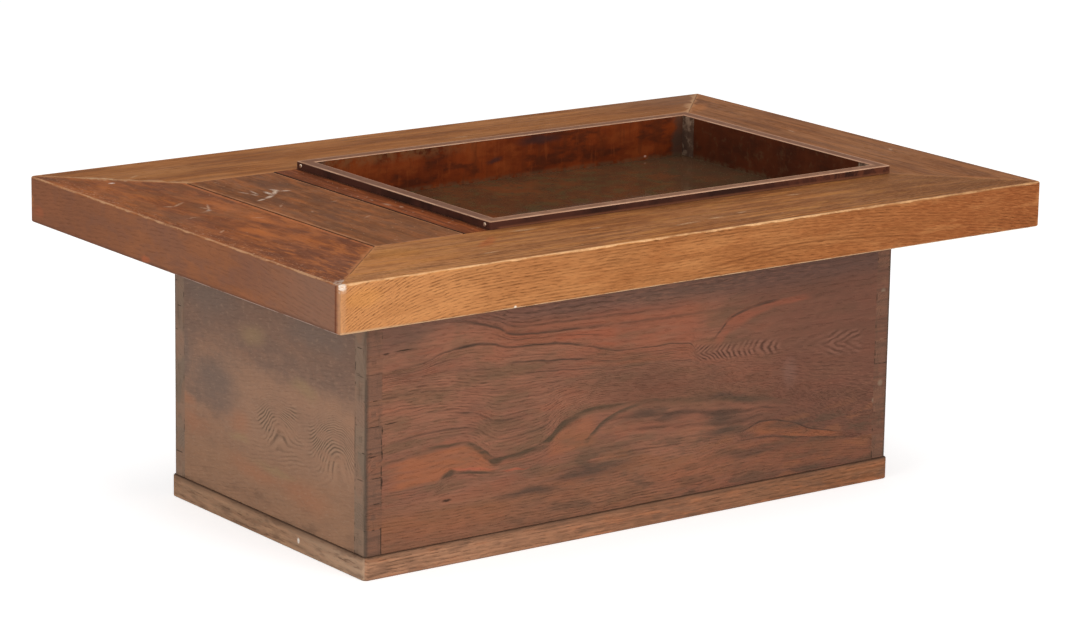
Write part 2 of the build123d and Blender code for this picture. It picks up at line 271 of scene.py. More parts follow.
    def wander(self, vector, grain, reach):
        """The same place, moved by slow noise, so that a drawn shape gets a natural edge."""
        noise = self.node("ShaderNodeTexNoise", vector)
        noise.inputs["Scale"].default_value = grain
        noise.inputs["Detail"].default_value = 2.0
        offset = self.scaled(self.moved(noise.outputs[1], (-0.5, -0.5, -0.5)), (2 * reach,) * 3)
        return self.moved(vector, offset)

    def oval(self, flat, middle, reach, turn=0.0, core=0.35):
        """A soft oval on a flat face: 1 in its core, 0 outside. The turn is in degrees."""
        inside = self.node("ShaderNodeMapping", flat, vector_type="TEXTURE")
        inside.inputs["Location"].default_value = (*middle, 0)
        inside.inputs["Rotation"].default_value = (0, 0, math.radians(turn))
        inside.inputs["Scale"].default_value = (*reach, 1000)
        distance = self.node("ShaderNodeVectorMath", inside.outputs[0], operation="LENGTH").outputs["Value"]
        return self.ramp(distance, core, 1.0, 1.0, 0.0)

    def ovals(self, flat, marks, core=0.35):
        """Several ovals as one mask; a mark is its middle, its two reaches and, if turned, its turn."""
        return self.most(0.0,
            *(self.oval(flat, mark[:2], mark[2:4], *mark[4:], core=core) for mark in marks))

    def finish(self, roughness, relief, depth, **shader_values):
        """Joins colour, roughness and relief to one shader; depth is the relief's height in metres."""
        shader = self.tree.nodes.new("ShaderNodeBsdfPrincipled")
        for key, value in shader_values.items():
            shader.inputs[key.replace("_", " ")].default_value = value
        bump = self.tree.nodes.new("ShaderNodeBump")
        bump.inputs["Strength"].default_value = 1.0
        bump.inputs["Distance"].default_value = depth
        out = self.tree.nodes.new("ShaderNodeOutputMaterial")
        self.tree.links.new(relief, bump.inputs["Height"])
        self.tree.links.new(bump.outputs[0], shader.inputs["Normal"])
        self.tree.links.new(self.colour, shader.inputs["Base Color"])
        self.tree.links.new(roughness, shader.inputs["Roughness"])
        self.tree.links.new(shader.outputs[0], out.inputs["Surface"])
        return self.material


print("recipe steps:", sorted(name for name in vars(Recipe) if not name.startswith("_")))

# %% [markdown]
# ## The grain of a board
#
# The wood has large open pores in the early part of each year's ring and dense, smooth wood in the
# late part. Where a board cuts the rings at a slant, the pore bands spread into flames and eyes.
# Everything follows one count of years: the pores are short dark dashes along the ring lines, and
# the fibre and the tone of each year follow them too. Dashes drawn by hand would never line up over
# a corner, so they are noise that is stretched along the grain and across the rings.

# %% Board helper
def paler(colour, factor):
    """The same colour, so many times as light."""
    return tuple(min(1.0, part * factor) for part in colour)


class Board(Recipe):
    """The finish of one board: its grain first, then stains, marks and wear laid over it in turn."""

    def __init__(self, node, along, seed):
        super().__init__(f"{node}_wood")
        self.board = node
        self.seed = seed
        self.run, self.side = (self.x, self.y) if along == "X" else (self.y, self.x)
        self.low, self.high = (1000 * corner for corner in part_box(node))
        self.top = self.ramp(self.z, self.high[2] - 2.5, self.high[2] - 0.8)

    def drawn_out(self, long, wide, detail=3.0, shift=0.0):
        """Noise stretched along the board, with features about long by wide."""
        stretched = self.point(self.times(self.run, 1 / long), self.times(self.side, 1 / wide),
                               self.times(self.z, 1 / wide))
        return self.cloud(self.moved(stretched, (self.seed + shift, shift, self.seed)), 1.0, detail, 0.55)

    def years_from_heart(self, side, height, spacing, bend=10.0, swell=None):
        """Years counted from the heart of the trunk, a line beside the board that slow noise bends."""
        drift = self.drawn_out(350, 70, 2.0)
        off_side = self.sum(self.side, self.times(self.less(drift, 0.5), bend), -side)
        off_height = self.less(self.z, height)
        depth = self.single("SQRT", self.sum(self.times(off_side, off_side),
            self.times(off_height, off_height)))
        if swell:
            depth = self.sum(depth, swell)
        return self.times(depth, 1 / spacing)

    def grow(self, years, body, dark, stain, spacing=3.0, band=0.5, dash=0.8, streak=0.3, wobble=0.7,
             fine=1.0):
        """Lays the ground colours, and finds the year lines and pores that lines() draws later."""
        years = self.sum(years, self.times(self.less(self.drawn_out(45, 9, 3.0, 2.0), 0.5), wobble))
        phase = self.single("FRACT", years)
        year_tone = self.node("ShaderNodeTexWhiteNoise", None, self.single("FLOOR", years),
                              noise_dimensions="1D").outputs["Value"]
        early = self.times(self.ramp(phase, 0.0, 0.14), self.ramp(phase, 0.75, 0.2))
        through = self.less(self.side, self.z)
        fine_years = self.times(years, spacing)
        dash_space = self.point(self.times(self.run, fine / 13), self.times(fine_years, fine),
            self.times(through, 0.5))
        dashes = self.cloud(self.moved(dash_space, (self.seed, 0, 0)), 1.0, 1.5, 0.5)
        pores = self.ramp(dashes, 0.54, 0.63)
        streak_space = self.point(self.times(self.run, 1 / 70), self.times(fine_years, 0.55),
                                  self.times(through, 0.25))
        streaks = self.cloud(self.moved(streak_space, (0, self.seed, 0)), 1.0, 3.0, 0.6)
        self.mottle = self.drawn_out(130, 38, 4.0, 5.0)
        self.colour = self.blend(self.ramp(self.mottle, 0.40, 0.60), body, stain)
        self.tint(dark, streak, self.ramp(streaks, 0.5, 0.66))
        self.tint(paler(body, 1.35), streak, self.ramp(streaks, 0.5, 0.34))
        self.early = self.times(early, self.ramp(year_tone, 0, 1, 0.35, 1.0))
        self.pores = self.times(pores, self.ramp(early, 0, 1, 0.3, 1.0))
        self.bright_fibre = self.ramp(dashes, 0.47, 0.36)
        self.line_colours = dark, paler(body, 1.5), band, dash
        self.dents += [self.times(self.pores, -0.7), self.times(early, -0.2), self.times(streaks, 0.3)]

    def lines(self, fibre=0.22, faintest=0.25, where=1.0):
        """Draws the year lines, the bright fibre and the pores, clear here and faint there."""
        dark, bright, band, dash = self.line_colours
        clear = self.times(self.ramp(self.drawn_out(140, 40, 3.0, 21.0), 0.40, 0.60, faintest, 1.0), where)
        self.tint(bright, fibre, self.bright_fibre, where)
        self.tint(dark, band, self.early, clear)
        self.tint(dark, dash, self.pores, clear)

    def stain(self, noise, deep, thin, strength, *masks):
        """Oil and stain have sunk in unevenly: a deep colour here, a thin one there."""
        noise = self.drawn_out(*noise) if isinstance(noise, tuple) else noise
        self.tint(deep, strength, self.ramp(noise, 0.50, 0.63), *masks)
        self.tint(thin, strength, self.ramp(noise, 0.48, 0.36), *masks)

    def edge(self):
        """How far a point is from the nearest edge of the board's box."""
        gaps = []
        for value, a, b in zip((self.x, self.y, self.z), self.low, self.high):
            gaps.append(self.less((b - a) / 2, self.size(self.less(value, (a + b) / 2))))
        return self.most(self.least(gaps[0], gaps[1]), self.least(self.most(gaps[0], gaps[1]), gaps[2]))

    def wear(self, rubbed, reach=4.0, share=0.85, where=1.0):
        """Hands and cloths have rubbed the finish off the edges, more here and less there."""
        uneven = self.cloud(self.place, 0.035, 4.0, 0.65)
        reach_here = self.ramp(uneven, 0.3, 0.7, 0.35 * reach, reach)
        worn = self.ramp(self.edge(), reach_here, 0.15 * reach)
        self.tint(rubbed, share, worn, where)

    def worn_and_highlit_arris(self, near, rubbed, strength):
        """The rounded upper edge on one side, pale: partly rubbed bare, partly a painted highlight."""
        uneven = self.cloud(self.place, 0.03, 5.0, 0.75)
        starts = self.ramp(self.cloud(self.place, 0.04, 3.0, 0.6), 0.36, 0.64, 343.8, 342.5)
        bare = self.times(self.ramp(uneven, 0.36, 0.6, 0.25, 1.0),
            self.ramp(self.less(self.z, starts), 0.0, 1.0))
        self.tint(rubbed, strength, near, bare)

    def chipped_corner(self, near, bare, chip):
        """A corner of the top that has been knocked: bare wood, and chips towards its upper end."""
        self.tint(bare, 0.45, near)
        chips = self.ramp(self.cloud(self.place, 0.30, 4.0, 0.7), 0.36, 0.52)
        self.tint(chip, 0.95, near, chips, z=(335, 342))

    def lower_arris(self, face, rubbed, strength):
        """The sharp lower edge of a side, bruised to a thin pale line."""
        bare = self.ramp(self.cloud(self.place, 0.05, 4.0, 0.7), 0.36, 0.56, 0.15, 1.0)
        self.tint(rubbed, strength, face, bare, z=(296.6, 295.8))

    def scratches(self, marks, colour, strength=0.8, ragged=1.6):
        """Pale scrapes on the upper face, each an oval as ovals() takes it."""
        flat = self.flat("xy", 0.35, ragged)
        torn = self.ramp(self.cloud(self.place, 0.55, 2.0), 0.35, 0.6, 0.45, 1.0)
        mask = self.times(self.ovals(flat, marks, 0.1), torn, self.top)
        self.tint(colour, strength, mask)
        self.dents.append(self.times(mask, -0.8))

    def specks(self, colour, grain, rarity, strength=0.6, where=1.0):
        """Small flecks where the finish has chipped."""
        fleck = self.ramp(self.cloud(self.place, grain, 2.0), rarity, rarity + 0.04)
        mask = self.times(fleck, where)
        self.tint(colour, strength, mask)
        self.dents.append(self.times(mask, -0.5))

    def dressed(self, gloss=0.48, level=0.0, warm=0.16, depth=0.0004):
        """Puts the finish on. Old oil shines in the wood's own colour, and warm says how much."""
        rough = self.sum(gloss, self.times(self.less(self.mottle, 0.5), 0.5), self.times(self.pores, 0.2))
        relief = self.sum(*self.dents)
        material = self.finish(rough, relief, depth, Specular_IOR_Level=level, Metallic=warm)
        boards[self.board].data.materials.clear()
        boards[self.board].data.materials.append(material)
        for face in boards[self.board].data.polygons:
            face.material_index = 0
        return len(self.tree.nodes)


print("board steps:", sorted(name for name in vars(Board) if not name.startswith("_")))

# %% [markdown]
# ## The mitres of the top
#
# Four wide boards meet at the corners on slanted joints. Old glue lines open a little and fill with
# dirt, and the edges beside them are rubbed pale. The distance to the joint's plane is a simple sum
# of the two ways to the table's outer edges, so the line can be drawn without any map.

# %% Mitre lines
half_length, half_width, board_width, right_board_width = 455.0, 300.0, 121, 114
joint_dirt = (0.09, 0.042, 0.024)
mitre_slant = 0.707


def distance_to_mitre(board):
    """How far a point of the top is from the nearest mitre joint."""
    from_side = board.less(half_width, board.size(board.y))
    left = board.size(board.less(board.sum(board.x, half_length), from_side))
    from_right = board.times(board.less(half_length, board.x), board_width / right_board_width)
    return board.times(board.least(left, board.size(board.less(from_right, from_side))), mitre_slant)


def mitre_line(board, rubbed, strength=0.75, reach=7.0):
    """The dark line of a mitre between edges that are rubbed pale."""
    distance = distance_to_mitre(board)
    broken = board.cloud(board.place, 0.06, 3.0, 0.6)
    board.tint(rubbed, 0.6, board.ramp(distance, board.ramp(broken, 0.35, 0.65, 0.2 * reach, reach), 0.5))
    board.tint(joint_dirt, strength, board.ramp(distance, 1.0, 0.4),
        board.ramp(broken, 0.36, 0.5, 0.35, 1.0))


def mitre_crust(board, middle, reach):
    """Old polish that has dried in a pale ragged crust over a part of a mitre."""
    near = board.oval(board.flat("xy", 0.06, 5.0), middle, (reach, 8.0), -45)
    ragged = board.ramp(board.cloud(board.place, 0.16, 4.0, 0.7), 0.42, 0.60)
    board.tint((0.56, 0.36, 0.2), 0.75, near, ragged, board.top)


print("mitres end at", half_length - board_width, "and", half_width - board_width)

# %% [markdown]
# ## The front board
#
# The front board is the lightest. Its side has fine dark pore dashes that sweep up from the left
# end and fall a little towards the right end, so the ring count gets a drawn swell along the board.
# Its colour drifts from yellow tan at the left to red brown at the right. The upper edge catches
# every sleeve, so it is worn almost bare; its pale line is partly a painted highlight on the
# rounding.

# %% Front board
front = Board("top_front_board", "X", 1.0)
sweep = front.drawn_line(front.x, [(-455, -50), (-400, -23), (-340, -6), (-280, 0), (60, 0), (200, -6),
                                   (320, -18), (455, -36)])
front.grow(front.years_from_heart(-330, 430, 3.1, 6.0, sweep), (0.385, 0.155, 0.054), (0.160, 0.056, 0.020),
           (0.335, 0.122, 0.040), spacing=3.1, band=0.46, dash=0.66, streak=0.34, fine=1.3)
front_side, front_face = front.opposite(front.top), front.ramp(front.y, -296, -298)
front.tint((0.6, 0.268, 0.1), 0.68, x=(-60, -430))
front.tint((0.25, 0.105, 0.04), 0.66, front.top, x=(60, 330))
front.tint((0.255, 0.07, 0.022), 0.72, front_side, x=(-20, 380))
front.stain((70, 12, 4.0, 14.0), (0.3, 0.112, 0.036), (0.56, 0.25, 0.09), 0.26, front_side)
front.stain((150, 8, 4.0, 8.0), (0.185, 0.075, 0.028), (0.56, 0.22, 0.058), 0.55, front.top)
front.stain((40, 7, 4.0, 31.0), (0.195, 0.066, 0.024), (0.52, 0.225, 0.062), 0.45, front.top)
front.tint((0.19, 0.078, 0.034), 0.55, front.top, x=(180, 400))
flat = front.flat("xy", 0.02, 12.0)
front.tint((0.45, 0.115, 0.034), 0.6, front.ovals(flat, [(-226, -222, 34, 9, 42)]), front.top)
front.tint((0.56, 0.235, 0.06), 0.45, front.ovals(flat, [(-330, -212, 46, 30)]), front.top)
front.lines(0.25, 0.3)
arch = front.less(front.z, front.drawn_line(front.x, [(-20, 303), (60, 312), (130, 317), (190, 314),
    (300, 303)]))
arches = front.most(front.band(arch, -0.5, 0.5, 1.0), front.times(front.band(arch, -5.5, -4.7, 1.0), 0.6),
                    front.times(front.band(arch, 6.0, 6.8, 1.2), 0.5))
front.tint((0.19, 0.064, 0.022), 0.6, arches, front_side, front.band(front.x, 20, 250, 60))
front.scratches([(-164, -197, 22, 5, -4), (-2, -261, 26, 4, 6), (40, -256, 15, 4), (79, -249, 10, 3, 8),
    (182, -210, 13, 3, -8), (-250, -262, 16, 3, 4), (-95, -228, 12, 3)], (0.62, 0.38, 0.21), 0.6)
front.specks((0.60, 0.36, 0.19), 0.24, 0.70, 0.35, front.top)
mitre_line(front, (0.58, 0.25, 0.09))
side_flat = front.flat("xz", 0.1, 2.0)
front.tint((0.62, 0.27, 0.06), 0.25, front_side, front.ovals(side_flat, [(-428, 329, 30, 14)]))
front.wear((0.60, 0.29, 0.125), 2.6, 0.45)
# Painted highlight and wear: the rounded upper front edge is painted pale.
front.worn_and_highlit_arris(front.ramp(front.y, -297.2, -298.4), (0.74, 0.42, 0.2),
    front.ramp(front.x, 440, 100, 0.5, 1.0))
front.lower_arris(front_face, (0.80, 0.56, 0.34), 0.7)
front.tint((0.9, 0.8, 0.68), 0.8, front_face, front.oval(front.flat("xz"), (-247, 296.5), (2.2, 2.0)))
front.chipped_corner(front.where(front_face, x=(-446, -450)), (0.5, 0.25, 0.12), (0.8, 0.66, 0.54))
front.tint((0.66, 0.42, 0.24), 0.6, front_side, z=(298.5, 296), x=(-330, -430))
print("front board nodes:", front.dressed())

# %% [markdown]
# ## The other boards of the top
#
# The left board is redder, with orange patches where the stain is thin, and carries most of the
# scrapes. The back board is a plain brown, and the right board, which stood in the sun least, is
# greyer. The same few steps make them all: grain, stains, joints, wear.

# %% Left board
left = Board("top_left_board", "Y", 7.0)
left_swell = left.drawn_line(left.y, [(-300, 14), (-200, 4), (-60, -6), (80, 0), (200, 9), (300, 20)])
left.grow(left.years_from_heart(-400, 250, 3.6, 16.0, left_swell), (0.345, 0.11, 0.036),
    (0.13, 0.044, 0.02), (0.245, 0.078, 0.03), spacing=3.6, band=0.1, dash=0.16, streak=0.16)
left_side = left.opposite(left.top)
left.stain((64, 24, 5.0, 8.0), (0.145, 0.052, 0.028), (0.45, 0.14, 0.038), 0.65, left.top)
left.stain((26, 7, 4.0, 18.0), (0.15, 0.052, 0.027), (0.44, 0.14, 0.044), 0.3, left.top)
left.stain(left.cloud(left.place, 0.06, 5.0, 0.7), (0.175, 0.056, 0.026), (0.39, 0.125, 0.042), 0.3,
    left.top)
flat = left.flat("xy", 0.02, 14.0)
left.tint((0.5, 0.15, 0.04), 0.6, left.ovals(flat, [(-368, 100, 16, 48, 8), (-398, -58, 12, 36, 10),
    (-372, -120, 12, 50), (-362, 5, 16, 76, 3)]), left.top)
left.tint((0.262, 0.112, 0.06), 0.72, left_side)
left.stain((80, 26, 4.0, 6.0), (0.205, 0.098, 0.066), (0.335, 0.122, 0.058), 0.45, left_side)
left.stain(left.cloud(left.place, 0.04, 5.0, 0.7), (0.215, 0.098, 0.066), (0.33, 0.13, 0.062), 0.3,
    left_side)
left.tint((0.24, 0.132, 0.09), 0.75, left_side, y=(-110, -270))
left.tint((0.12, 0.06, 0.042), 0.6, left_side, z=(300, 296.5))
side_flat = left.flat("yz", 0.1, 3.0)
left.tint((0.46, 0.125, 0.055), 0.6, left_side,
    left.ovals(side_flat, [(281, 309, 13, 8), (60, 300, 12, 4)]))
left.tint((0.175, 0.058, 0.028), 0.5, left.top, y=(-90, -210))
left.stain((20, 6, 4.0, 70.0), (0.13, 0.042, 0.022), (0.52, 0.165, 0.045), 0.45,
    left.where(left.top, y=(-60, -160)))
left.tint((0.215, 0.088, 0.05), 0.45, left_side, y=(60, 200))
left.lines(0.06)
left.scratches([(-410, 88, 8, 3, -32), (-396, 92, 17, 3, 36), (-383, 63, 11, 3, -78),
    (-389, 48, 11, 4, 13), (-379, 61, 25, 2.5, 62), (-417, 30, 10, 2.5, 2), (-370, 232, 13, 3, 14),
    (-382, 224, 9, 3, 60), (-425, -40, 10, 2, 40), (-360, -5, 9, 2, -30)], (0.66, 0.42, 0.27), 0.65)
left.scratches([(-401, 220, 5, 4, 6), (-384, 52, 4, 3)], (0.95, 0.88, 0.8), 0.95, 0.6)
left.specks((0.58, 0.34, 0.20), 0.24, 0.70, 0.4, left.top)
left.specks((0.6, 0.33, 0.19), 0.34, 0.61, 0.5, left.where(left.top, x=(-425, -450)))
left.tint((0.195, 0.078, 0.035), 0.55, left.top, left.ramp(left.drawn_out(60, 20, 4.0, 40.0), 0.44, 0.6),
    y=(-60, 40))
mitre_line(left, (0.60, 0.24, 0.09), 0.45, 9.0)
mitre_crust(left, (-398, 243), 34)
left.tint((0.52, 0.165, 0.058), 0.6, left.top, left.ramp(left.cloud(left.place, 0.05), 0.3, 0.5),
    x=(-341, -338))
# Painted shade: a thin dark line along the edge beside the lid, where the gap is in shade.
left.tint((0.06, 0.024, 0.014), 0.8, left.top, x=(-335.6, -334.6))
left.wear((0.42, 0.20, 0.10), 2.6, 0.4, left.ramp(left.z, 300, 330, 0.1, 1.0))
# Painted highlight and wear: the rounded upper left edge is painted pale.
left.worn_and_highlit_arris(left.ramp(left.x, -452.8, -453.9), (0.56, 0.31, 0.165), 0.75)
left.tint((0.36, 0.165, 0.085), 0.6, left_side, y=(-293.5, -295))
left.tint((0.15, 0.042, 0.02), 0.75, left_side, left.band(left.y, -294.0, -292.0, 1.2))
left.lower_arris(left.ramp(left.x, -451, -453), (0.58, 0.42, 0.34), left.ramp(left.y, 150, -60, 0.2, 0.8))
left.chipped_corner(left.where(x=(-448, -452), y=(-296.5, -298)), (0.42, 0.235, 0.13), (0.78, 0.66, 0.56))
knocked = left.oval(left.flat("xy", 0.2, 3.0), (-447, -290), (17, 9), 45)
left.tint((0.5, 0.41, 0.33), 0.75, knocked, left.top, left.ramp(left.cloud(left.place, 0.25, 4.0, 0.7),
    0.4, 0.58))
print("left board nodes:", left.dressed())

# %% Back board
back = Board("top_back_board", "X", 4.0)
back.grow(back.years_from_heart(310, 230, 3.4, 14.0), (0.378, 0.150, 0.048), (0.160, 0.060, 0.025),
          (0.302, 0.112, 0.038), spacing=3.4, band=0.20, dash=0.40, streak=0.36)
back.stain((150, 10, 4.0, 8.0), (0.195, 0.08, 0.038), (0.48, 0.19, 0.06), 0.45, back.top)
back.tint((0.2, 0.105, 0.068), 0.6, x=(230, 420), y=(200, 290))
flat = back.flat("xy", 0.02, 12.0)
back.tint((0.44, 0.185, 0.062), 0.5, back.ovals(flat, [(-330, 236, 60, 26)]))
back.lines(0.10)
back.scratches([(-362, 238, 12, 3, 30), (60, 230, 14, 3), (-140, 205, 12, 3, 3)], (0.6, 0.37, 0.21), 0.5)
back.specks((0.58, 0.34, 0.20), 0.24, 0.71, 0.35, back.top)
mitre_line(back, (0.66, 0.38, 0.20), 0.3, 15.0)
mitre_crust(back, (-398, 243), 40)
back.wear((0.44, 0.22, 0.11), 2.6, 0.5)
print("back board nodes:", back.dressed())

# %% Right board
right = Board("top_right_board", "Y", 9.0)
right.grow(right.years_from_heart(420, 240, 3.6, 16.0), (0.330, 0.136, 0.054), (0.150, 0.060, 0.029),
           (0.265, 0.106, 0.045), spacing=3.6, band=0.18, dash=0.35, streak=0.36)
right.stain((110, 10, 4.0, 8.0), (0.17, 0.074, 0.042), (0.42, 0.165, 0.064), 0.45, right.top)
flat = right.flat("xy", 0.02, 12.0)
right.tint((0.47, 0.17, 0.055), 0.6,
    right.ovals(flat, [(400, 232, 36, 14, 45), (404, -244, 40, 10, -46)]))
right.lines(0.10)
right.scratches([(402, 60, 12, 3, 80), (430, -80, 9, 3, 60)], (0.6, 0.38, 0.24), 0.5)
right.specks((0.58, 0.36, 0.22), 0.24, 0.71, 0.35, right.top)
mitre_line(right, (0.54, 0.25, 0.11))
right.wear((0.44, 0.23, 0.13), 2.6, 0.5)
print("right board nodes:", right.dressed())

# %% [markdown]
# ## The lid and the cross rail
#
# The lid lies flush in the top and is lifted off often, so its long edges are pale and it carries
# the deepest scrape, a forked one. The faces in the gaps round it are painted near black, as painted
# shade in the gaps. The cross rail, next to the fire, is darker and redder, and the strip of it
# beside the copper rim is darkened as a painted shadow and reflection of the rim.

# %% Lid board
lid = Board("lid_board", "Y", 13.0)
lid.grow(lid.years_from_heart(-300, 270, 3.4, 14.0), (0.285, 0.104, 0.038), (0.120, 0.045, 0.023),
         (0.210, 0.078, 0.031), spacing=3.4, band=0.12, dash=0.3, streak=0.2)
lid.stain((70, 22, 5.0, 8.0), (0.135, 0.06, 0.031), (0.37, 0.118, 0.036), 0.6, lid.top)
lid.stain((30, 7, 4.0, 18.0), (0.13, 0.052, 0.028), (0.38, 0.122, 0.038), 0.42, lid.top)
lid.stain(lid.cloud(lid.place, 0.05, 5.0, 0.7), (0.165, 0.058, 0.026), (0.27, 0.12, 0.058), 0.35, lid.top)
lid.tint((0.12, 0.056, 0.034), 0.5, lid.ovals(lid.flat("xy", 0.03, 8.0),
    [(-262, 128, 26, 34), (-300, 40, 14, 40), (-258, 30, 12, 30, 10)]))
lid.tint((0.19, 0.08, 0.036), 0.35, lid.top, y=(-70, -150))
lid.lines(0.06)
lid.scratches([(-311, 66, 9, 3, 22), (-296, 74, 13, 4, 32), (-279, 90, 17, 4, 51), (-273, 99, 10, 4, -76),
    (-265, 91, 8, 3, -19), (-287, 90, 13, 4, 84)], (0.78, 0.6, 0.46), 0.85, 0.8)
lid.scratches([(-308, 105, 10, 2.5, -69), (-304, 91, 9, 2.5, -84), (-298, 101, 15, 2.5, 81)],
    (0.62, 0.46, 0.34), 0.7, 0.8)
lid.scratches([(-297, -10, 5, 2, 60), (-262, -60, 10, 2, 30), (-310, 30, 9, 2, 50), (-250, 20, 8, 2, 10)],
    (0.6, 0.38, 0.24), 0.5)
lid.specks((0.58, 0.36, 0.22), 0.24, 0.70, 0.4, lid.top)
lid_edges = lid.most(lid.band(lid.x, -331.5, -329.5, 0.8), lid.ramp(lid.x, -227.5, -226.2),
                     lid.ramp(lid.size(lid.y), 175.5, 177.5))
lid.tint((0.5, 0.23, 0.11), 0.65, lid_edges, lid.ramp(lid.cloud(lid.place, 0.05, 3.0, 0.6), 0.35, 0.55,
    0.3, 1.0))
# Painted shade: the lid's sides, down in the gaps round it, are painted near black.
lid.tint((0.05, 0.022, 0.013), 0.8, x=(-332.4, -332.9))
lid.tint((0.05, 0.025, 0.016), 0.9, z=(343.8, 342.6))
print("lid nodes:", lid.dressed())

# %% Cross rail
cross = Board("cross_rail", "Y", 11.0)
cross.grow(cross.years_from_heart(-230, 200, 3.2, 10.0), (0.262, 0.070, 0.023), (0.095, 0.029, 0.014),
           (0.208, 0.056, 0.019), spacing=3.2, band=0.2, dash=0.4, streak=0.45)
cross.tint((0.165, 0.054, 0.026), 0.6, y=(-20, 150))
# Painted shadow and reflection: a dark strip beside the copper rim, standing for the rim's shadow and its
# dark reflection in the oiled wood.
cross.tint((0.1, 0.034, 0.02), 0.8, x=(-199, -194))
cross.tint((0.08, 0.03, 0.018), 0.6, cross.band(cross.x, -213, -212.4, 0.5))
cross.stain((40, 5, 4.0, 33.0), (0.11, 0.031, 0.013), (0.4, 0.112, 0.034), 0.45, cross.top)
cross.lines(0.08)
cross.scratches([(-212, -22, 4, 9, 10), (-206, -40, 3, 6, -20), (-214, 4, 2, 5)], (0.62, 0.4, 0.27), 0.6)
cross.specks((0.58, 0.36, 0.24), 0.24, 0.68, 0.5, cross.top)
# Painted shade: the cross rail's face towards the lid is painted near black, as the shade of the gap.
cross.tint((0.035, 0.016, 0.01), 0.95, x=(-221.4, -222.6))
print("cross rail nodes:", cross.dressed())

# %% [markdown]
# ## The front of the box
#
# The front wall is one wide board from close to the trunk's bark, and its figure is the boldest
# thing on the table: long lines that sweep down from the left, a row of nested arrow points towards
# the right, a dark wave below and orange lenses where the cut runs along a ring. Rings from a plain
# round heart can't do that. Instead a few guide lines are drawn across the board, each with its
# year, and the years between two guides are shared out evenly. This is how a marquetry cutter
# draws figure too: the main lines first, then the fill.

# %% Front wall: guide lines
wall = Board("front_wall", "X", 21.0)
wall.u, wall_depth, wall.v = wall.parts(wall.wander(wall.place, 0.03, 2.2))
guides = [
    (0, [(-346, 302), (346, 302)]),
    (14, [(-346, 268), (-232, 256), (-187, 244), (-150, 231), (-73, 228), (63, 224), (222, 227),
          (346, 229)]),
    (19, [(-346, 215.5), (-296, 215.5), (-246, 226), (-210, 229), (-164, 220), (-119, 217.5), (-73, 208.5),
          (-28, 198.5), (63, 193), (81, 179), (108, 176), (245, 168.5), (346, 163)]),
    (30, [(-346, 200.5), (-300, 200.5), (-255, 197), (-210, 189.5), (-119, 182.5), (18, 173.5),
          (54, 171.5), (108, 157), (154, 146), (245, 124.5), (346, 99.5)]),
    (50, [(-346, 108.5), (-300, 124.5), (-232, 128.5), (-196, 114.5), (-178, 106), (-141, 109),
          (-119, 116.5), (-91, 135), (-37, 141.5), (40, 136), (108, 127.5), (200, 112.5), (290, 81.5),
          (346, 68)]),
    (56, [(-346, 89.5), (-264, 89.5), (-237, 98), (-178, 89.5), (-132, 90.5), (-60, 95), (63, 90.5),
          (136, 84), (172, 92.5), (200, 88), (240, 73.5), (290, 61), (346, 47)]),
    (64, [(-346, 68), (-119, 62.5), (63, 65.5), (136, 73.5), (222, 65), (290, 55.5), (346, 40)]),
    (77, [(-346, 22), (346, 22)]),
]
lines = [wall.drawn_line(wall.u, points) for _, points in guides]
years = [year for year, _ in guides]
steps = [wall.ramp(wall.v, upper, lower, 0.0, float(next_year - year), smooth=False)
         for upper, lower, year, next_year in zip(lines, lines[1:], years, years[1:])]
wall_years = wall.sum(*steps)
print("guide lines:", len(lines), "nodes so far:", len(wall.tree.nodes))

# %% Front wall: grain and colours
wall_dark = (0.085, 0.044, 0.030)
wall.grow(wall.sum(wall_years, wall.times(wall_depth, 0.12)), (0.262, 0.113, 0.067), wall_dark,
          (0.218, 0.097, 0.060), spacing=3.2, band=0.46, dash=0.56, streak=0.30, wobble=0.6)


def between(first, last, soft):
    """Years from first to last, by the guide count."""
    return wall.band(wall_years, first, last, soft)


def along(start, stop, soft):
    """A stretch of the board."""
    return wall.band(wall.u, start, stop, soft)


def stretches(*rows):
    """Bands of years, each on its own stretch; a row is (first, last, soft, start, stop, soft, share)."""
    return wall.most(*(wall.times(between(*row[:3]), along(*row[3:6]), row[6]) for row in rows))


wall.stain((110, 20, 4.0, 6.0), (0.13, 0.078, 0.043), (0.285, 0.096, 0.052), 0.4)
wall.stain((34, 12, 4.0, 61.0), (0.142, 0.088, 0.05), (0.255, 0.094, 0.058), 0.26)
wall.tint((0.134, 0.056, 0.038), 0.68, u=(40, 230))
wall.tint((0.118, 0.055, 0.035), 0.58, wall.ovals(wall.flat("uv", 0.02, 12.0), [(20, 150, 150, 34, -6)],
    0.1))
wall.tint((0.22, 0.098, 0.05), 0.4, v=(82, 55), u=(140, -60))
wall.stain((45, 11, 4.0, 12.0), (0.098, 0.062, 0.04), (0.24, 0.098, 0.05), 0.6,
    wall.where(v=(110, 80), u=(-200, -60)))
orange, red_brown = (0.33, 0.112, 0.050), (0.30, 0.092, 0.048)
uneven = wall.ramp(wall.drawn_out(50, 8, 4.0, 3.0), 0.36, 0.56, 0.45, 1.0)
patches = stretches((51.3, 55.4, 0.9, -300, -205, 26, 1.0), (51.5, 55, 0.9, -108, -66, 16, 0.6),
                    (57.2, 62.6, 0.9, 178, 262, 30, 0.9), (67, 71, 3, -330, -190, 50, 0.5),
                    (66, 72, 3, 60, 300, 60, 0.4))
wall.tint(orange, 0.72, patches, uneven)
wall.tint(red_brown, 0.8, stretches((15.2, 17.8, 1.2, -100, -42, 30, 1.0),
    (16.6, 18.4, 0.8, 0, 60, 40, 0.7), (12, 18, 3, -170, 60, 60, 0.6), (20, 26, 2, -60, 60, 60, 0.45)),
    uneven)
wall_flat = wall.flat("uv", 0.03, 7.0)
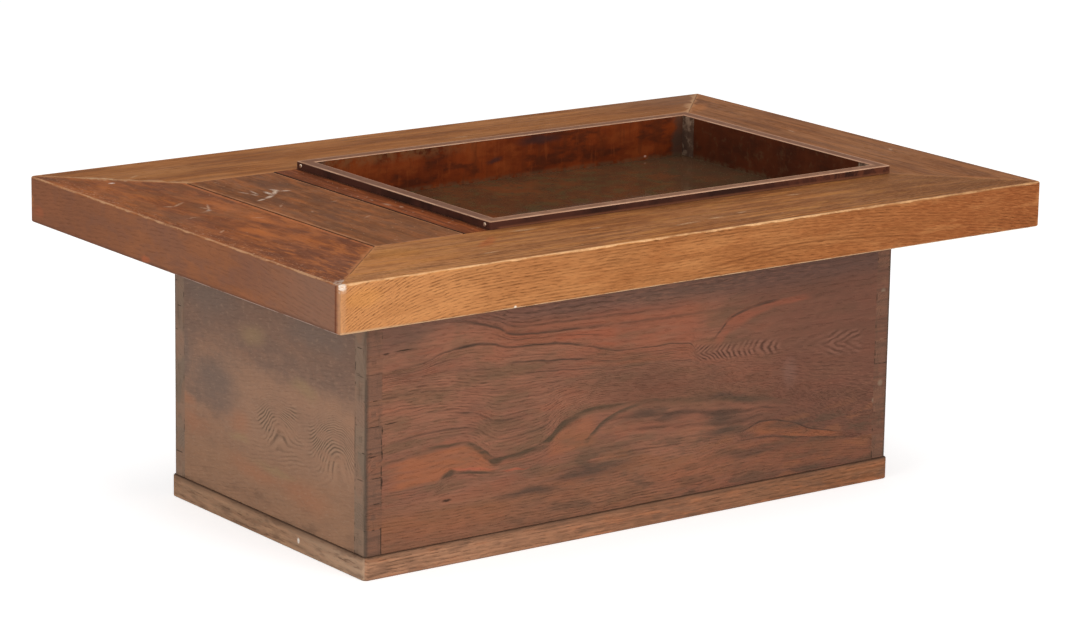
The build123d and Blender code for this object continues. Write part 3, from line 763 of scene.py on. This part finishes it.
clouds = [(25, 120, 75, 15, -4), (112, 106, 44, 15, -10), (125, 124, 70, 8, -12), (118, 88, 46, 9, 4),
    (-60, 72, 80, 13), (160, 60, 70, 10), (-140, 62, 60, 8), (205, 84, 58, 9, -4)]
wall.tint((0.088, 0.054, 0.038), 0.85, wall.ovals(wall_flat, clouds, 0.1), uneven)
wall.tint((0.21, 0.108, 0.08), 0.5, wall.ovals(wall_flat, [(206, 140, 15, 27)], 0.1))
# Painted shade: a purple grey band just under the top's overhang, partly the wood's own tone and partly the
# overhang's shadow; it is a little lighter at the left end.
overhang_shade_line = wall.drawn_line(wall.u, [(-346, 224), (-290, 232), (-230, 248), (-170, 242), (0, 236),
    (150, 236), (346, 238)])
wall.tint((0.12, 0.068, 0.054), 0.68, wall.ramp(wall.less(wall.v, overhang_shade_line), -8, 16),
    u=(-330, -60, 0.75, 1.0))
# Painted shade: the top of the board is darkened more towards the right end, under the overhang.
wall.tint((0.09, 0.05, 0.038), 0.34, v=(205, 262), u=(20, 160))
finely_lined = wall.ovals(wall_flat, [(-262, 184, 105, 30, -3), (0, 262, 420, 34), (-40, 40, 420, 26),
    (285, 112, 110, 40, -20), (-140, 160, 150, 34)], 0.3)
smooth_lens = wall.most(patches, stretches((50.6, 55.8, 0.9, -310, -205, 24, 1.0)),
    wall.ovals(wall_flat, [(-165, 158, 74, 34)], 0.3))
lined_here = wall.times(wall.ramp(finely_lined, 0.0, 1.0, 0.25, 1.0),
    wall.ramp(smooth_lens, 0.0, 0.8, 1.0, 0.35))
wall.lines(0.18, 0.30, lined_here)
print("front wall nodes:", len(wall.tree.nodes))

# %% [markdown]
# A few lines of the figure are much darker than the rest: they are late wood cut almost flat. Each
# is a narrow band of years on a stretch of the board, and the wave is a band that hangs below its
# guide, thick where the line dips. The nested arrow points get a count of their own along the
# board, bent back above and below their spine.

# %% Front wall: bold lines
bold = [(14, 0.7, -225, -60, 0.85), (14, 0.4, -60, 120, 0.5), (19.1, 0.75, -225, -30, 0.95),
    (19.1, 0.4, -310, -225, 0.7), (19.1, 0.34, -30, 66, 0.9), (24.6, 0.55, -160, -20, 0.9),
    (21.6, 0.26, -60, 66, 0.6), (23.2, 0.22, -30, 78, 0.5), (28.2, 0.45, -140, 60, 0.6),
    (26.5, 0.3, -330, -200, 0.5), (33, 0.4, -320, -150, 0.45), (22.6, 0.3, -330, -120, 0.6),
    (56.2, 0.6, 132, 262, 0.95), (63.8, 0.42, 140, 300, 0.75), (52.6, 0.5, 100, 175, 0.6),
    (40.5, 0.7, -222, -146, 0.7), (45.5, 0.6, -330, -120, 0.5), (52.2, 0.55, -10, 130, 0.55),
    (54.2, 0.5, 10, 160, 0.5), (58.5, 0.5, -20, 110, 0.4), (16.0, 0.3, -180, -60, 0.6),
    (12.2, 0.4, -200, 40, 0.45)]
thick_and_thin = wall.ramp(wall.drawn_out(60, 9, 3.0, 15.0), 0.36, 0.56, 0.35, 1.0)
for year, half_width, start, stop, strength in bold:
    wall.tint((0.07, 0.04, 0.028), strength, between(year, year, half_width), along(start, stop, 22),
        thick_and_thin)

wave_depth = wall.drawn_line(wall.u, [(-346, 2), (-232, 4), (-210, 8), (-191, 10), (-170, 5), (-141, 5),
    (-119, 9), (-98, 9), (-78, 6), (-50, 4), (40, 5), (150, 6), (346, 3)])
below_wave = wall.less(lines[4], wall.v)
in_wave = wall.times(wall.ramp(below_wave, -1.6, 1.2),
    wall.ramp(wall.less(below_wave, wave_depth), 3.0, -3.5))
wave_share = wall.ramp(wall.u, -40, 20, 1.0, 0.6)
wall.tint((0.08, 0.052, 0.032), 0.9, in_wave, along(-325, 180, 40), thick_and_thin, wave_share)
hump = wall.drawn_line(wall.u, [(-66, 108), (-58, 116), (-42, 127), (-20, 134), (8, 138), (33, 138),
    (65, 131), (83, 125), (110, 118)])
below_hump = wall.less(hump, wall.v)
in_hump = wall.times(wall.ramp(below_hump, -1.2, 0.8),
    wall.ramp(below_hump, wall.ramp(wall.u, -40, 30, 9.0, 4.0), 1.5))
wall.tint((0.085, 0.056, 0.036), 0.85, in_hump, wall.band(wall.u, -62, 20, 12), thick_and_thin)
wedge = wall.ovals(wall_flat, [(-245, 95.5, 14, 5, 12), (-210, 93, 38, 2.2, -5)], 0.3)
wall.tint((0.08, 0.05, 0.032), 0.85, wedge)
wall.tint((0.4, 0.11, 0.062), 0.7,
    wall.ovals(wall_flat, [(-215, 97.5, 40, 2.2, -6), (-160, 90.5, 26, 2.0, -3)], 0.2))

arc = wall.drawn_line(wall.u, [(100, 192), (108, 199), (127, 213), (154, 220), (200, 224), (260, 226)])
below_arc = wall.less(arc, wall.v)
narrowing = wall.where(below_arc, u=(130, 200, 1.0, 2.4))
wall.tint((0.275, 0.088, 0.05), 0.7, wall.band(narrowing, 1.5, 9.0, 9.0), along(116, 215, 24), uneven)
wall.tint((0.075, 0.042, 0.03), 0.8, wall.band(below_arc, -2.0, -0.4, 1.4), along(112, 176, 20),
    thick_and_thin)

spine = wall.drawn_line(wall.u, [(60, 181), (76, 180), (154, 175.4), (210, 170), (262, 165.7), (300, 163),
    (346, 160)])
spine_distance = wall.size(wall.less(wall.v, spine))
arrow_count = wall.drawn_line(wall.u, [(60, 0), (72, 2), (122, 9), (190, 17), (262, 21), (300, 23.6),
    (346, 26)])
lean = wall.drawn_line(wall.u, [(60, 0.26), (100, 0.22), (125, 0.11), (190, 0.1), (255, 0.15),
    (346, 0.17)])
arrow_bend = wall.times(wall.less(wall.drawn_out(24, 12, 3.0, 17.0), 0.5), 1.6)
arrow_phase = wall.single("FRACT", wall.less(wall.sum(arrow_count, arrow_bend),
    wall.times(spine_distance, lean)))
arrow_dark = wall.times(wall.ramp(arrow_phase, 0.0, 0.35), wall.ramp(arrow_phase, 0.8, 0.45))
spread = wall.ramp(wall.u, 200, 280, 0.0, 5.0)
arrow_zone = wall.times(wall.ramp(wall.less(spine_distance, spread), 11.5, 6.0),
    wall.ramp(uneven, 0.4, 1.0, 0.7, 1.0), wall.most(along(84, 184, 16),
    wall.times(along(262, 300, 10), 0.9), wall.times(along(190, 262, 10), 0.35)))
arrow_zone = wall.times(arrow_zone, wall.ramp(wall.drawn_out(30, 14, 3.0, 19.0), 0.38, 0.55, 0.35, 1.0))
wall.tint((0.28, 0.128, 0.086), 0.5, arrow_zone)
wall.tint((0.078, 0.035, 0.023), 0.85, arrow_zone, arrow_dark)
print("front wall nodes:", len(wall.tree.nodes))

# %% [markdown]
# ## The corners of the box
#
# The walls are joined by long fingers, and each finger shows its end grain on the other wall's
# face. After decades of oil and smoke the two are nearly one colour, and only dirt in the joint
# shows here and there. So both walls get the same corner colours by place, and a broken dark line
# follows the shoulders and the finger edges.

# %% Corner colours and joint lines
finger, box_foot, box_half_x, box_half_y, wall_thick = 27.0, 25.0, 346.0, 184.0, 19.0


def corner_sides(board):
    """For both pairs of walls: how far out a point is, the wall's half length, a mask of its face."""
    return ((board.size(board.x), box_half_x, board.ramp(board.faces[1], 0.5, 0.8)),
            (board.size(board.y), box_half_y, board.ramp(board.faces[0], 0.5, 0.8)))


def past_shoulder(board, start, stop):
    """Masks of the long and the end faces near a corner, rising from start to stop past the shoulder."""
    return [board.times(board.ramp(out, half - wall_thick + start, half - wall_thick + stop), face)
            for out, half, face in corner_sides(board)]


def corner_colours(board, long_share, end_share):
    """The same aged look on every face near a corner, whichever wall the wood belongs to."""
    on_long, on_end = past_shoulder(board, -2, 0)
    tone = board.drawn_line(board.z, [(25, 0.35), (60, 0.2), (104, 0.3), (112, 0.0), (155, 0.05),
        (163, 0.9), (184, 1.0), (190, 0.3), (212, 0.2), (240, 0.35), (295, 0.1)])
    board.tint((0.178, 0.086, 0.055), long_share, on_long)
    board.tint((0.222, 0.155, 0.108), end_share, on_end)
    veins = board.stretched((0.03, 0.03, 0.35))
    board.tint((0.1, 0.056, 0.038), 0.5, on_long, board.ramp(veins, 0.5, 0.62))
    board.tint((0.235, 0.105, 0.06), 0.4, on_long, board.ramp(veins, 0.47, 0.36))
    board.tint((0.3, 0.175, 0.118), 0.7, on_end, tone)
    fresh = board.stretched((0.04, 0.04, 0.025), 3.0)
    board.tint((0.3, 0.165, 0.105), 0.5, on_end, board.ramp(fresh, 0.48, 0.6))
    smears = board.stretched((0.12, 0.12, 0.03))
    board.tint((0.1, 0.06, 0.04), 0.5, board.most(on_long, on_end), board.ramp(smears, 0.5, 0.72))


def corner_edge(board):
    """The four upright arrises of the box, dark with the oil of hands."""
    near_x = board.ramp(board.size(board.x), box_half_x - 5.0, box_half_x - 0.5)
    near_y = board.ramp(board.size(board.y), box_half_y - 4.0, box_half_y - 0.5)
    patchy = board.ramp(board.stretched((0.08, 0.08, 0.02)), 0.36, 0.56, 0.4, 1.0)
    board.tint((0.072, 0.052, 0.038), 0.8, near_x, near_y, patchy)


def joint_lines(board, strength=0.8):
    """Broken dark lines along the shoulders and between the fingers."""
    shows = board.ramp(board.cloud(board.place, 0.09), 0.53, 0.62)
    count = board.times(board.sum(board.z, -box_foot), 1 / finger)
    from_edge = board.times(board.size(board.less(board.single("FRACT", board.sum(count, 0.5)), 0.5)),
        finger)
    shoulders = [board.times(board.ramp(board.size(board.less(out, half - wall_thick)), 0.9, 0.3), face)
                 for out, half, face in corner_sides(board)]
    level = board.times(board.ramp(from_edge, 0.8, 0.25), board.most(*past_shoulder(board, -0.4, 0.4)))
    board.tint((0.03, 0.018, 0.012), strength, board.most(*shoulders, level), shows)


def box_grime(board, strength=0.45):
    """Dust and dark oil gather low down."""
    low = board.ramp(board.stretched((0.02, 0.02, 0.06)), 0.48, 0.7)
    board.tint((0.11, 0.066, 0.044), strength, low, z=(70, 25))


corner_colours(wall, 0.35, 0.95)
joint_lines(wall)
marks_flat = wall.flat("xz", 0.2, 0.8)
dark_marks = [(-326, 155, 1.1, 5.5), (-326, 129.5, 1.1, 7), (-326, 101, 1.1, 7), (-338, 129, 8, 1.0),
    (-316, 161, 11, 1.0, 2), (-322, 234, 6, 1.2), (-300, 235, 16, 0.9), (-246, 69, 8, 2.2)]
wall.tint((0.035, 0.02, 0.014), 0.85, wall.ovals(marks_flat, dark_marks, 0.3), wall.faces[1])
pale_marks = [(336, 212, 5, 8), (336, 156, 5, 7), (336, 111, 5, 5), (327, 92, 3, 4)]
wall.tint((0.25, 0.165, 0.11), 0.8, wall.ovals(marks_flat, pale_marks, 0.3), wall.faces[1])
box_grime(wall)
corner_edge(wall)
print("front wall nodes:", wall.dressed(0.5, 0.06, 0.1))

# %% [markdown]
# ## The other walls
#
# The lid end of the box is greyer and quieter. Its lines rise gently towards the front corner and
# turn round two small eyes, where the board passed a knot that isn't quite in it. The eyes are
# swells in the ring count. The back and the right wall are plain boards from the same tree.

# %% Left wall
end = Board("left_wall", "Y", 25.0)
end_depth, end.u, end.v = end.parts(end.wander(end.place, 0.03, 4.0))
end_flat = end.flat("uv")
tilted = end.sum(end.times(end.v, 0.23), end.times(end.u, 0.040), end.times(end_depth, 0.05))
eye_flat = end.wander(end_flat, 0.03, 7.0)
eye_one = end.times(end.oval(eye_flat, (-20, 131), (42, 36), 8, 0.0), -5.0)
eye_two = end.times(end.oval(eye_flat, (-130, 128), (52, 54), 6, 0.0), -7.6)
end_years = end.sum(tilted, eye_one, eye_two)
end.grow(end_years, (0.290, 0.166, 0.108), (0.140, 0.086, 0.062), (0.248, 0.146, 0.102),
         spacing=3.8, band=0.14, dash=0.12, streak=0.16, wobble=1.2)
lined = end.most(end.ovals(end_flat, [(-14, 122, 52, 26), (-126, 124, 56, 42)], 0.35),
    end.times(end.ovals(end_flat, [(-50, 106, 130, 30, 4)], 0.3), 0.5))
ring = end.single("FRACT", end_years)
ripple = end.times(end.ramp(ring, 0.0, 0.3), end.ramp(ring, 0.75, 0.4))
flanks = end.ovals(end_flat, [(-2, 124, 34, 24), (-106, 126, 42, 34), (-40, 140, 24, 12, -30)], 0.4)
broken_ripple = end.times(end.most(end.times(lined, 0.75), flanks),
    end.ramp(end.drawn_out(26, 12, 3.0, 9.0), 0.4, 0.58, 0.12, 1.0))
end.stain((60, 22, 4.0, 6.0), (0.185, 0.12, 0.09), (0.345, 0.178, 0.106), 0.4)
end.stain((22, 9, 4.0, 16.0), (0.19, 0.12, 0.086), (0.335, 0.19, 0.122), 0.34)
end.stain(end.cloud(end.place, 0.16, 4.0, 0.7), (0.165, 0.108, 0.078), (0.36, 0.2, 0.124), 0.22)
end.tint((0.345, 0.18, 0.098), 0.6, v=(130, 60))
end.tint((0.176, 0.104, 0.075), 0.66, v=(150, 235))
end.tint((0.385, 0.208, 0.124), 0.5, end.band(end.v, 105, 160, 30), u=(110, 30))
patches = end.wander(end_flat, 0.02, 14.0)
end.tint((0.375, 0.16, 0.085), 0.55, end.ovals(patches, [(52, 114, 34, 20, 6), (145, 90, 40, 18, 4),
    (-70, 60, 80, 22, 4), (20, 64, 80, 18, 4), (160, 112, 30, 10, 10)], 0.1))
end.tint((0.18, 0.126, 0.099), 0.68, end.ovals(patches, [(103, 145, 60, 38, 4), (120, 245, 90, 40),
    (-100, 245, 90, 34), (170, 165, 30, 40)], 0.2))
end.tint((0.33, 0.215, 0.11), 0.5, end.ovals(patches, [(-69, 178, 36, 14, 4), (28, 212, 40, 22),
    (52, 96, 30, 8), (-20, 76, 60, 8, 4)], 0.1))
end.tint((0.115, 0.074, 0.049), 0.85, ripple, broken_ripple)
end.tint((0.41, 0.255, 0.16), 0.46, end.opposite(ripple), broken_ripple)
end.lines(0.05, 0.1)
end.tint((0.4, 0.255, 0.17), 0.22, end.ramp(end.stretched((1, 0.12, 0.3), 3.0), 0.56, 0.66))
corner_colours(end, 0.95, 0.75)
joint_lines(end)
end_marks = end.flat("yz", 0.2, 0.8)
end.tint((0.06, 0.038, 0.026), 0.7, end.ovals(end_marks, [(-164.5, 146, 0.9, 38), (164.5, 167, 0.9, 9),
    (-174, 212, 9, 0.9), (-174, 104, 9, 0.9)], 0.3), end.faces[0])
end.tint((0.31, 0.19, 0.125), 0.5, end.ovals(end_marks, [(174, 163, 8, 13), (172, 110, 7, 7)], 0.5),
    end.faces[0])
box_grime(end)
corner_edge(end)
print("left wall nodes:", end.dressed(0.55, 0.08, 0.05, 0.0002))

# %% Back and right walls
for node, direction, seed, heart, body, stain, corner_shares in (
        ("back_wall", "X", 23.0, (260, 150), (0.225, 0.100, 0.061), (0.180, 0.080, 0.051), (0.35, 0.95)),
        ("right_wall", "Y", 27.0, (420, 120), (0.250, 0.128, 0.080), (0.205, 0.106, 0.070), (0.95, 0.75))):
    plain = Board(node, direction, seed)
    swell = plain.drawn_line(plain.run, [(-346, 30), (-180, 4), (-40, -8), (90, 10), (220, -6), (346, 24)])
    plain.grow(plain.years_from_heart(*heart, 3.2, 60.0, swell), body, wall_dark, stain,
               spacing=3.2, band=0.4, dash=0.5, streak=0.34)
    plain.tint((0.31, 0.118, 0.058), 0.5, plain.ramp(plain.drawn_out(120, 16, 3.0, 9.0), 0.56, 0.66))
    plain.lines(0.16)
    corner_colours(plain, *corner_shares)
    joint_lines(plain)
    box_grime(plain)
    corner_edge(plain)
    print(node, "nodes:", plain.dressed(0.52, 0.06, 0.1))

# %% [markdown]
# ## The base
#
# The base rails are mitred and stand a little proud of the walls. They take the kicks and the mop,
# so they are paler than the walls, scuffed along the lower edge and dark with dirt along the upper
# one, where dust lies against the wall.

# %% Base rails
for side, direction, seed in (("front", "X", 31.0), ("back", "X", 33.0),
                              ("left", "Y", 35.0), ("right", "Y", 37.0)):
    rail = Board(f"base_{side}_rail", direction, seed)
    rail.grow(rail.years_from_heart(-120, -70, 3.2, 12.0), (0.345, 0.160, 0.086), (0.130, 0.066, 0.040),
              (0.285, 0.128, 0.070), spacing=3.2, band=0.40, dash=0.6, streak=0.5)
    if direction == "X":
        rail.tint((0.49, 0.262, 0.152), 0.62, x=(0, -320))
        rail.tint((0.205, 0.08, 0.034), 0.68, x=(40, 300))
        rail.stain((50, 9, 4.0, 50.0), (0.215, 0.11, 0.062), (0.46, 0.175, 0.078), 0.45)
    else:
        rail.tint((0.43, 0.272, 0.168), 0.66)
        rail.stain((60, 12, 4.0, 50.0), (0.265, 0.17, 0.106), (0.49, 0.29, 0.165), 0.45)
        rail.tint((0.52, 0.352, 0.236), 0.58, y=(-20, -170))
    if side == "left":
        rail.tint((0.95, 0.9, 0.82), 0.95, rail.oval(rail.flat("yz"), (-65, 13), (3.0, 4.0)),
            x=(-346, -348))
    rail.lines(0.2, 0.3)
    rail.tint((0.135, 0.075, 0.046), 0.6, z=(17.5, 24.5))
    from_corner = rail.size(rail.less(rail.less(349.0, rail.size(rail.x)),
        rail.less(187.0, rail.size(rail.y))))
    rail.tint((0.045, 0.026, 0.018), 0.8, rail.ramp(from_corner, 1.1, 0.4), rail.faces[2])
    rail.tint((0.15, 0.084, 0.055), 0.4, rail.ramp(rail.stretched((0.03, 0.03, 0.1)), 0.52, 0.66))
    rail.wear((0.44, 0.28, 0.18), 2.4, 0.4, rail.ramp(rail.z, 22.0, 15.0))
    rail.tint((0.07, 0.04, 0.027), 0.8, rail.faces[2], z=(23.6, 24.6))
    print(f"base {side} rail nodes:", rail.dressed(0.6, 0.04, 0.1))

# %% [markdown]
# ## The wood inside
#
# Nobody oils the inside of a box. Its boards are planed and bare, paler than the outside, and only
# browned by age. The keys and pegs are split from denser wood, with a fine straight grain. At the
# corners of the box their ends have taken the colour of the walls.

# %% Inside boards, keys and pegs
inner = ["partition", "lid_batten_front", "lid_batten_back"]
inner += [f"bearer_{n}" for n in (1, 2, 3)] + [f"hearth_board_{n}" for n in (1, 2, 3)]
inner += [f"bottom_board_{n}" for n in (1, 2, 3, 4, 5)]
for number, node in enumerate(inner):
    bare = Board(node, "X" if "hearth" in node or "batten" in node else "Y", 41.0 + number)
    bare.grow(bare.years_from_heart(-40 + 30 * number, -90, 4.2, 14.0), (0.42, 0.26, 0.14),
        (0.24, 0.13, 0.07), (0.36, 0.22, 0.12), spacing=4.2, band=0.4, dash=0.5, streak=0.3)
    bare.tint((0.27, 0.17, 0.1), 0.5, bare.ramp(bare.cloud(bare.place, 0.02, 4.0, 0.6), 0.5, 0.7))
    bare.lines()
    bare.wear((0.48, 0.32, 0.19), 2.0, 0.4)
    bare.dressed(0.7, 0.15, 0.0)
aged, top_wood, base_wood = (((0.19, 0.1, 0.065), (0.11, 0.062, 0.042)),
    ((0.34, 0.19, 0.1), (0.18, 0.09, 0.05)), ((0.3, 0.16, 0.09), (0.14, 0.08, 0.05)))
pegs = {"corner_pegs": aged, "top_keys": top_wood, "frame_pegs": top_wood, "lid_pegs": top_wood,
        "base_keys": base_wood, "base_pegs": base_wood}
for number, (node, (body, dark)) in enumerate(pegs.items()):
    split = Board(node, "X", 71.0 + number)
    split.grow(split.years_from_heart(-40, -60, 2.0, 4.0), body, dark, paler(body, 0.85),
               spacing=2.0, band=0.3, dash=0.3, streak=0.4)
    split.tint(dark, 0.4, split.ramp(split.cloud(split.place, 0.15, 3.0, 0.6), 0.5, 0.7))
    split.lines()
    if node == "corner_pegs":
        corner_colours(split, 0.88, 0.88)
    split.dressed(0.6, 0.06, 0.1)
print("inside boards:", len(inner), "sets of pegs and keys:", len(pegs))

# %% [markdown]
# ## The copper liner
#
# The fire lies in a shallow pan of sheet copper. Heat has darkened its walls to a deep red brown,
# ash and damp have left an olive crust where the walls meet the floor, and years of wiping have
# polished the floor like lacquer. The rim, which hands touch, is a dull pinkish tan, while its
# turned-down skirt is almost black. These are four finishes on one sheet, so the faces of the
# sheet are sorted by where they lie, and each sort gets its own recipe.

# %% Copper finishes
def copper_finish(name):
    """A new recipe with the slow clouds that every darkened sheet has."""
    sheet = Recipe(name)
    sheet.haze = sheet.cloud(sheet.place, 0.018, 4.0, 0.6)
    sheet.fine = sheet.cloud(sheet.place, 0.12, 4.0, 0.65)
    sheet.hammer = sheet.cloud(sheet.place, 0.035, 1.0, 0.4)
    return sheet


def hammered(sheet, shiny, dull, grit, depth, metal, level):
    """Closes a recipe: roughness from shiny to dull, and hammer marks with a share of fine grit."""
    relief = sheet.sum(sheet.hammer, sheet.times(sheet.fine, grit)) if grit else sheet.hammer
    return sheet.finish(sheet.ramp(sheet.fine, 0.3, 0.7, shiny, dull), relief, depth,
                        Metallic=metal, Specular_IOR_Level=level)


def from_edges(sheet, middle, half_long, half_short):
    """How far a point lies inside the ends and inside the long sides of a box round the middle."""
    return (sheet.less(half_long, sheet.size(sheet.sum(sheet.x, -middle))),
            sheet.less(half_short, sheet.size(sheet.y)))


rim = copper_finish("liner_rim_copper")
rim.colour = rim.blend(rim.ramp(rim.haze, 0.38, 0.64), (0.350, 0.168, 0.098), (0.255, 0.118, 0.066))
rim.tint((0.42, 0.23, 0.155), 0.5, rim.ramp(rim.fine, 0.52, 0.68))
rim.tint((0.14, 0.072, 0.046), 0.5, rim.ramp(rim.fine, 0.44, 0.3))
rim.tint((0.165, 0.076, 0.048), 0.7, x=(-150, -192))
rim.tint((0.31, 0.135, 0.06), 0.5, y=(150, 172))
rim.tint((0.42, 0.215, 0.118), 0.6, y=(-150, -172))
to_outside = rim.least(*from_edges(rim, 74.55, 267.95, 180.5))
middle_of_strip = rim.band(to_outside, 4.5, 11.0, 2.5)
rim.tint((0.165, 0.074, 0.044), 0.72, middle_of_strip, rim.ramp(rim.fine, 0.3, 0.56, 0.35, 1.0))
# Pale lines along the rim's outer and inner edges: partly rubbed copper and partly a painted highlight
# where the edges catch the light.
rubbed_and_highlit_rim_edges = rim.most(rim.ramp(to_outside, 3.0, 0.8), rim.ramp(to_outside, 12.6, 14.4))
rim.tint((0.7, 0.43, 0.28), 0.7, rubbed_and_highlit_rim_edges, rim.ramp(rim.haze, 0.34, 0.54, 0.35, 1.0))
rim_finish = hammered(rim, 0.5, 0.68, 0.2, 0.0005, 0.35, 0.0)

skirt = copper_finish("liner_skirt_copper")
skirt.colour = skirt.blend(skirt.ramp(skirt.haze, 0.4, 0.62), (0.072, 0.025, 0.016), (0.034, 0.014, 0.010))
skirt.tint((0.16, 0.05, 0.025), 0.6, skirt.ramp(skirt.fine, 0.4, 0.6), x=(120, 300))
skirt.tint((0.2, 0.074, 0.036), 0.7, z=(348.4, 346.2), x=(-186, -180))
skirt_finish = hammered(skirt, 0.4, 0.6, 0.0, 0.0004, 0.3, 0.05)

walls = copper_finish("liner_wall_copper")
walls.colour = walls.blend(walls.ramp(walls.haze, 0.36, 0.64), (0.225, 0.042, 0.010), (0.138, 0.026, 0.008))
smoke = walls.cloud(walls.moved(walls.scaled(walls.place, (0.02, 0.02, 0.05)), (7, 3, 1)), 1.0, 4.0, 0.6)
walls.tint((0.275, 0.062, 0.015), 0.6, walls.ramp(smoke, 0.48, 0.68))
walls.tint((0.058, 0.017, 0.009), 0.68, walls.ramp(smoke, 0.5, 0.37))
drips = walls.stretched((0.1, 0.1, 0.018), 4.0, 0.65)
walls.tint((0.115, 0.028, 0.01), 0.5, walls.ramp(drips, 0.52, 0.66))
walls.tint((0.3, 0.07, 0.018), 0.3, walls.ramp(drips, 0.46, 0.34))
walls.tint((0.19, 0.085, 0.034), 0.6, walls.ramp(walls.fine, 0.36, 0.56), z=(338, 350), x=(80, -60))
wall_face = walls.flat("xz", 0.06, 4.0)
walls.tint((0.06, 0.026, 0.022), 0.75, walls.ovals(wall_face, [(122, 346, 44, 8), (60, 330, 16, 5, 10)],
    0.2))
# Painted shade: the pan's two end walls are darkened by the way they face, as if turned out of the light,
# and paler mottling is laid over them.
walls.tint((0.06, 0.02, 0.011), 0.72, walls.ramp(walls.faces[0], 0.5, 0.9))
walls.tint((0.12, 0.062, 0.03), 0.5, walls.ramp(walls.faces[0], 0.5, 0.9),
    walls.ramp(walls.fine, 0.52, 0.7))
to_corner = walls.most(*from_edges(walls, 74.55, 253.15, 165.7))
ragged = walls.sum(to_corner, walls.times(walls.less(smoke, 0.5), 30.0))
walls.tint((0.085, 0.052, 0.036), 0.75, walls.ramp(ragged, 17, 9))
walls.tint((0.75, 0.45, 0.34), 0.8, walls.ovals(walls.flat("xz"), [(273, 311, 2.4, 1.6)]))
crust = walls.where(walls.ramp(walls.fine, 0.35, 0.55), z=(313, 308.5))
walls.tint((0.13, 0.085, 0.045), 0.5, crust)
walls_finish = hammered(walls, 0.28, 0.45, 0.3, 0.0005, 0.25, 0.03)

pan = copper_finish("liner_floor_copper")
pan.colour = pan.blend(pan.ramp(pan.haze, 0.36, 0.64), (0.192, 0.078, 0.032), (0.142, 0.060, 0.028))
pan.tint((0.14, 0.098, 0.042), 0.7, pan.ramp(pan.cloud(pan.place, 0.045, 4.0, 0.65), 0.46, 0.62))
pan.tint((0.255, 0.078, 0.028), 0.6, pan.ramp(pan.haze, 0.46, 0.36))
pan.tint((0.09, 0.066, 0.038), 0.4, pan.ramp(pan.fine, 0.54, 0.66))
pan.tint((0.108, 0.06, 0.034), 0.6, x=(180, 310))
pan.tint((0.19, 0.142, 0.108), 0.45, y=(-40, -140), x=(-80, 100))
pan.tint((0.3, 0.2, 0.12), 0.5, pan.ramp(pan.cloud(pan.place, 0.4, 3.0, 0.6), 0.64, 0.72))
from_wall = pan.least(*from_edges(pan, 74.5, 253.2, 165.7))
pan.tint((0.17, 0.115, 0.065), 0.4, pan.ramp(from_wall, 6, 1), pan.ramp(pan.fine, 0.35, 0.6))
pan_finish = pan.finish(pan.ramp(pan.haze, 0.35, 0.65, 0.03, 0.09),
    pan.sum(pan.hammer, pan.times(pan.fine, 0.03)), 0.00006, Metallic=0.42, Specular_IOR_Level=0.0)
print("nodes of rim, skirt, walls and floor:", [len(part.tree.nodes) for part in (rim, skirt, walls, pan)])

# %% Sort the liner's faces
well_low, well_high = Vector((-0.180, -0.167, 0.3065)), Vector((0.329, 0.167, 0.3515))
floor_top, lies_level, looks_up = 0.3085, 0.5, 0.35
sheet = boards["liner"].data
sheet.materials.clear()
for finish in (rim_finish, skirt_finish, walls_finish, pan_finish):
    sheet.materials.append(finish)
counts = [0, 0, 0, 0]
for face in sheet.polygons:
    middle = face.center
    inside = all(well_low[axis] <= middle[axis] <= well_high[axis] for axis in range(3))
    if inside:
        face.material_index = 3 if middle.z < floor_top and face.normal.z > lies_level else 2
    else:
        face.material_index = 0 if face.normal.z > looks_up else 1
    counts[face.material_index] += 1
print("faces of rim, skirt, walls and floor:", counts)

# %% Flaps and rivets
flap = copper_finish("flap_copper")
flap.colour = flap.blend(flap.ramp(flap.haze, 0.4, 0.6), (0.115, 0.068, 0.046), (0.070, 0.038, 0.027))
# Pale patches on the flaps, palest towards the top: partly stains and partly painted highlights on the
# creased copper.
flap.tint((0.27, 0.185, 0.125), 0.65, flap.ramp(flap.fine, 0.5, 0.62))
flap.tint((0.38, 0.26, 0.175), 0.7, flap.ramp(flap.fine, 0.4, 0.55), z=(328, 350))
flap_finish = hammered(flap, 0.3, 0.5, 0.0, 0.0004, 0.3, 0.1)
rivet = copper_finish("rivet_copper")
rivet.colour = rivet.blend(rivet.ramp(rivet.fine, 0.4, 0.6), (0.80, 0.66, 0.52), (0.50, 0.36, 0.26))
rivet_finish = rivet.finish(rivet.ramp(rivet.fine, 0.3, 0.7, 0.25, 0.4), rivet.fine, 0.0001, Metallic=0.9)
for node, finish in (("liner_flaps", flap_finish), ("liner_rivets", rivet_finish)):
    boards[node].data.materials.clear()
    boards[node].data.materials.append(finish)
print("nodes of flaps and rivets:", len(flap.tree.nodes), len(rivet.tree.nodes))
